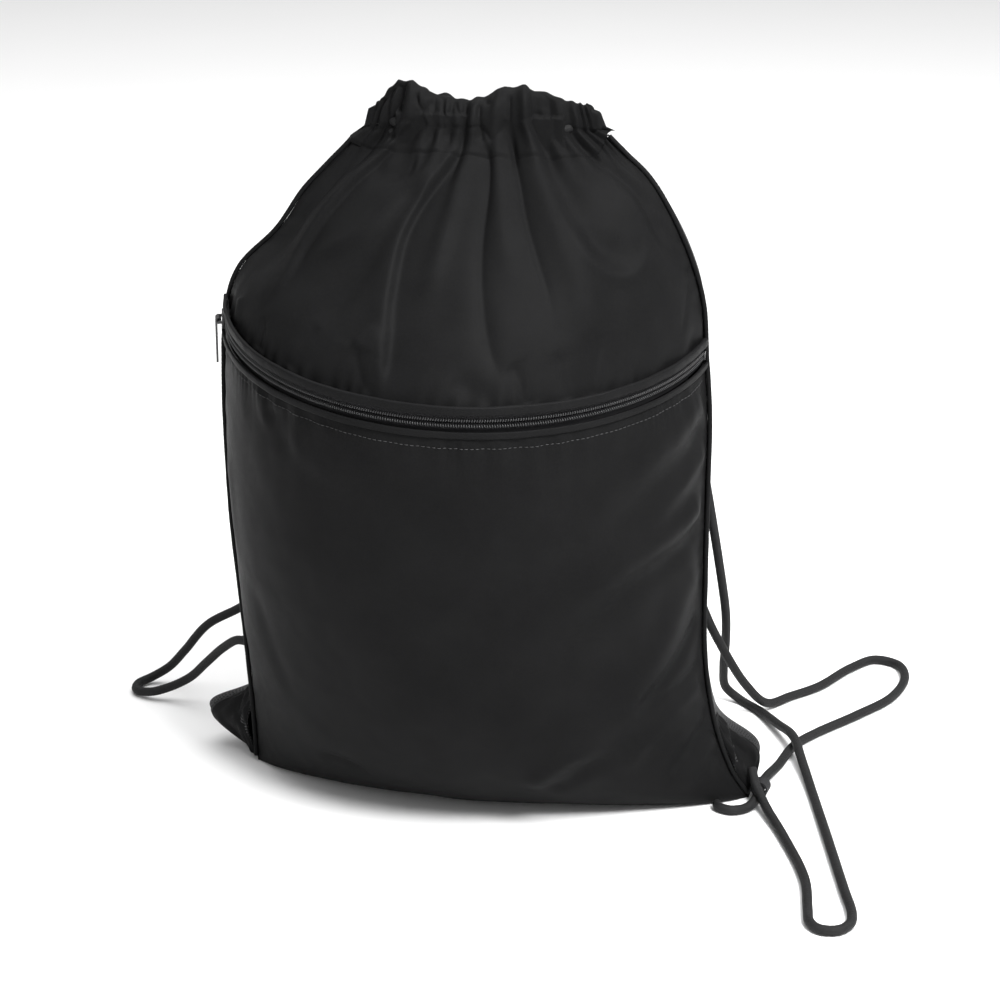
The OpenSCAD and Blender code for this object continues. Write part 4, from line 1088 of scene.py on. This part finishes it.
def zip_band(name, section, end, wobble, material, nodes, seed):
    """A strip along the zip whose closed section is (out, height) points."""
    section = np.asarray(section, float)
    cols = 380 if FINE == 1 else 160
    degrees = np.linspace(-end, end, cols)
    d, k = np.meshgrid(degrees, np.arange(len(section)), indexing="ij")
    s = d * math.radians(1) * ZIP_R
    out = section[k, 0] + wobble * smooth_noise(s, k * 0, 14, seed)
    out = out + 0.4 * wobble * smooth_noise(s, k * 1.7, 6, seed + 1)
    up = section[k, 1] + 0.5 * wobble * smooth_noise(s, k * 0, 31, seed + 2)
    points = on_zip(d, out, up)
    rows, ring = points.shape[:2]
    flat = np.concatenate([np.stack([s, section[k, 1]], -1).reshape(-1, 2), [[0, 0], [0, 0]]])
    ends = points[[0, -1]].mean(1)
    obj = new_mesh(name, np.concatenate([points.reshape(-1, 3), ends]), tube_faces(rows, ring), flat)
    return finish_piece(obj, ROOT, material, nodes)


def rounded(out0, out1, low, high, count=16):
    a = np.linspace(0, 2 * np.pi, count, endpoint=False)
    power = 0.55
    c, s = np.cos(a), np.sin(a)
    c, s = np.sign(c) * np.abs(c) ** power, np.sign(s) * np.abs(s) ** power
    out = (out0 + out1) / 2 + c * (out1 - out0) / 2
    return np.stack([out, (low + high) / 2 + s * (high - low) / 2], 1)


zip_band("welt_fold", rounded(0.1, 2.7, 5.0, 10.8), 79, 0.35, SATIN_PAINTED_HIGHLIGHT, ["zip_welt"], 101)
zip_band("hem_fold", rounded(2.3, 3.9, -8.8, -4.6), 79, 0.22, SATIN_PAINTED_HIGHLIGHT, ["pocket_hem"], 104)


def teeth(name, side, node):
    """The coil's loops: one rounded bar across the coil at each turn."""
    pitch = 1.45 if FINE == 1 else 2.9
    count = int(2 * math.radians(78) * ZIP_R / pitch)
    degrees = np.linspace(-77.9, 77.9, count)
    rings, sides = 7, 8
    t = np.linspace(0, np.pi, rings)
    points, faces = [], []
    middle = side * 1.72
    for i, d in enumerate(degrees):
        arch = 0.55 + 1.05 * np.sin(t)
        height = middle + side * 0.98 * -np.cos(t)
        lean = d + np.degrees(0.22 * -np.cos(t) / ZIP_R)
        thick = 0.42 * np.sin(np.clip(t, 0.5, np.pi - 0.5)) ** 0.4
        base = on_zip(lean, arch, height)
        outward = on_zip(lean, arch + 1, height) - base
        aside = on_zip(lean + 0.1, arch, height) - base
        aside /= np.linalg.norm(aside, axis=1, keepdims=True)
        points.append(rod_points(base, aside, outward, thick, sides))
        faces.append(tube_faces(rings, sides, i * (rings * sides + 2)))
    obj = new_mesh(name, np.concatenate(points), np.concatenate(faces))
    return finish_piece(obj, ROOT, COIL, [node])


teeth("coil_upper_turns", 1, "zip_coil_upper")
teeth("coil_lower_turns", -1, "zip_coil_lower")


def stitches(name, line, outward, length=2.2, gap=1.0, thick=0.24):
    """A row of thread stitches that follows a line on the cloth."""
    along = distance_along(line)
    starts = np.arange(0, along[-1] - length, length + gap)
    sides, rings = 6, 5
    points, faces = [], []
    at = lambda s, data: np.stack([np.interp(s, along, data[:, k]) for k in range(3)], 1)
    for i, start in enumerate(starts):
        s = start + np.linspace(0, length, rings)
        dip = thick * 1.3 * (2 * np.linspace(0, 1, rings) - 1) ** 4
        up = at(s, outward)
        up /= np.linalg.norm(up, axis=1, keepdims=True)
        base = at(s, line) + up * (thick * 0.45 - dip)[:, None]
        ahead = np.gradient(base, axis=0)
        ahead /= np.linalg.norm(ahead, axis=1, keepdims=True)
        aside = np.cross(ahead, up)
        points.append(rod_points(base, aside, up, thick, sides))
        faces.append(tube_faces(rings, sides, i * (rings * sides + 2)))
    return finish_piece(new_mesh(name, np.concatenate(points), np.concatenate(faces)), ROOT, THREAD)


def front_stitch_row(name, u, v):
    p, n = front_surface(u, v)
    return stitches(name, p, n)


def front_surface(u, v):
    """Points on the folded front and their outward directions."""
    base = front_at(u, v)
    d = 0.004
    along = front_at(u + d, v) - front_at(u - d, v)
    up = front_at(u, v + d) - front_at(u, v - d)
    n = np.cross(along, up)
    n /= np.linalg.norm(n, axis=1, keepdims=True)
    return base + n * front_relief(u, v)[:, None], n


u = np.linspace(-0.97, 0.97, 700)
front_stitch_row("stitches_hem", u, np.full_like(u, SEAM_V))
u = np.linspace(-0.9, 0.9, 500)
front_stitch_row("stitches_channel", u, np.interp(u, *np.array(SEAM_LINE).T))

# ---- Carried-over CAD pieces get their materials ----
for node, material in (
        ("bottom_binding", WEBBING), ("corner_loop_left", WEBBING), ("corner_loop_right", WEBBING),
        ("zip_tape_upper", ZIP_TAPE), ("zip_tape_lower", ZIP_TAPE), ("top_stop_upper", METAL),
        ("top_stop_lower", METAL), ("bottom_stop", METAL), ("zip_slider", METAL), ("zip_pull", METAL)):
    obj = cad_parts[node]
    obj.data.materials.clear()
    obj.data.materials.append(material)

# ---- Floor and light ----
FLOOR_HALF = 9000
floor_corners = [[x * FLOOR_HALF, y * FLOOR_HALF, 0] for x, y in ((-1, -1), (1, -1), (1, 1), (-1, 1))]
floor = new_mesh("floor", floor_corners, [[0, 1, 2, 3]])
floor.data.materials.append(floor_material())

world = bpy.data.worlds.new("studio")
world.use_nodes = True
world.node_tree.nodes["Background"].inputs[0].default_value = (1, 1, 1, 1)
world.node_tree.nodes["Background"].inputs[1].default_value = 0.5
bpy.context.scene.world = world
bpy.context.scene.view_settings.view_transform = "Standard"
area_light("top", (0.1, 0.5, 2.6), (0.1, 0.3, 0), (3.2, 2.6), 70)
area_light("key", (1.1, -1.0, 2.0), (0, 0, 0.25), (0.8, 0.8), 90)
area_light("fill", (-0.3, -2.6, 1.4), (0, 0, 0.2), (1.4, 1.0), 2)
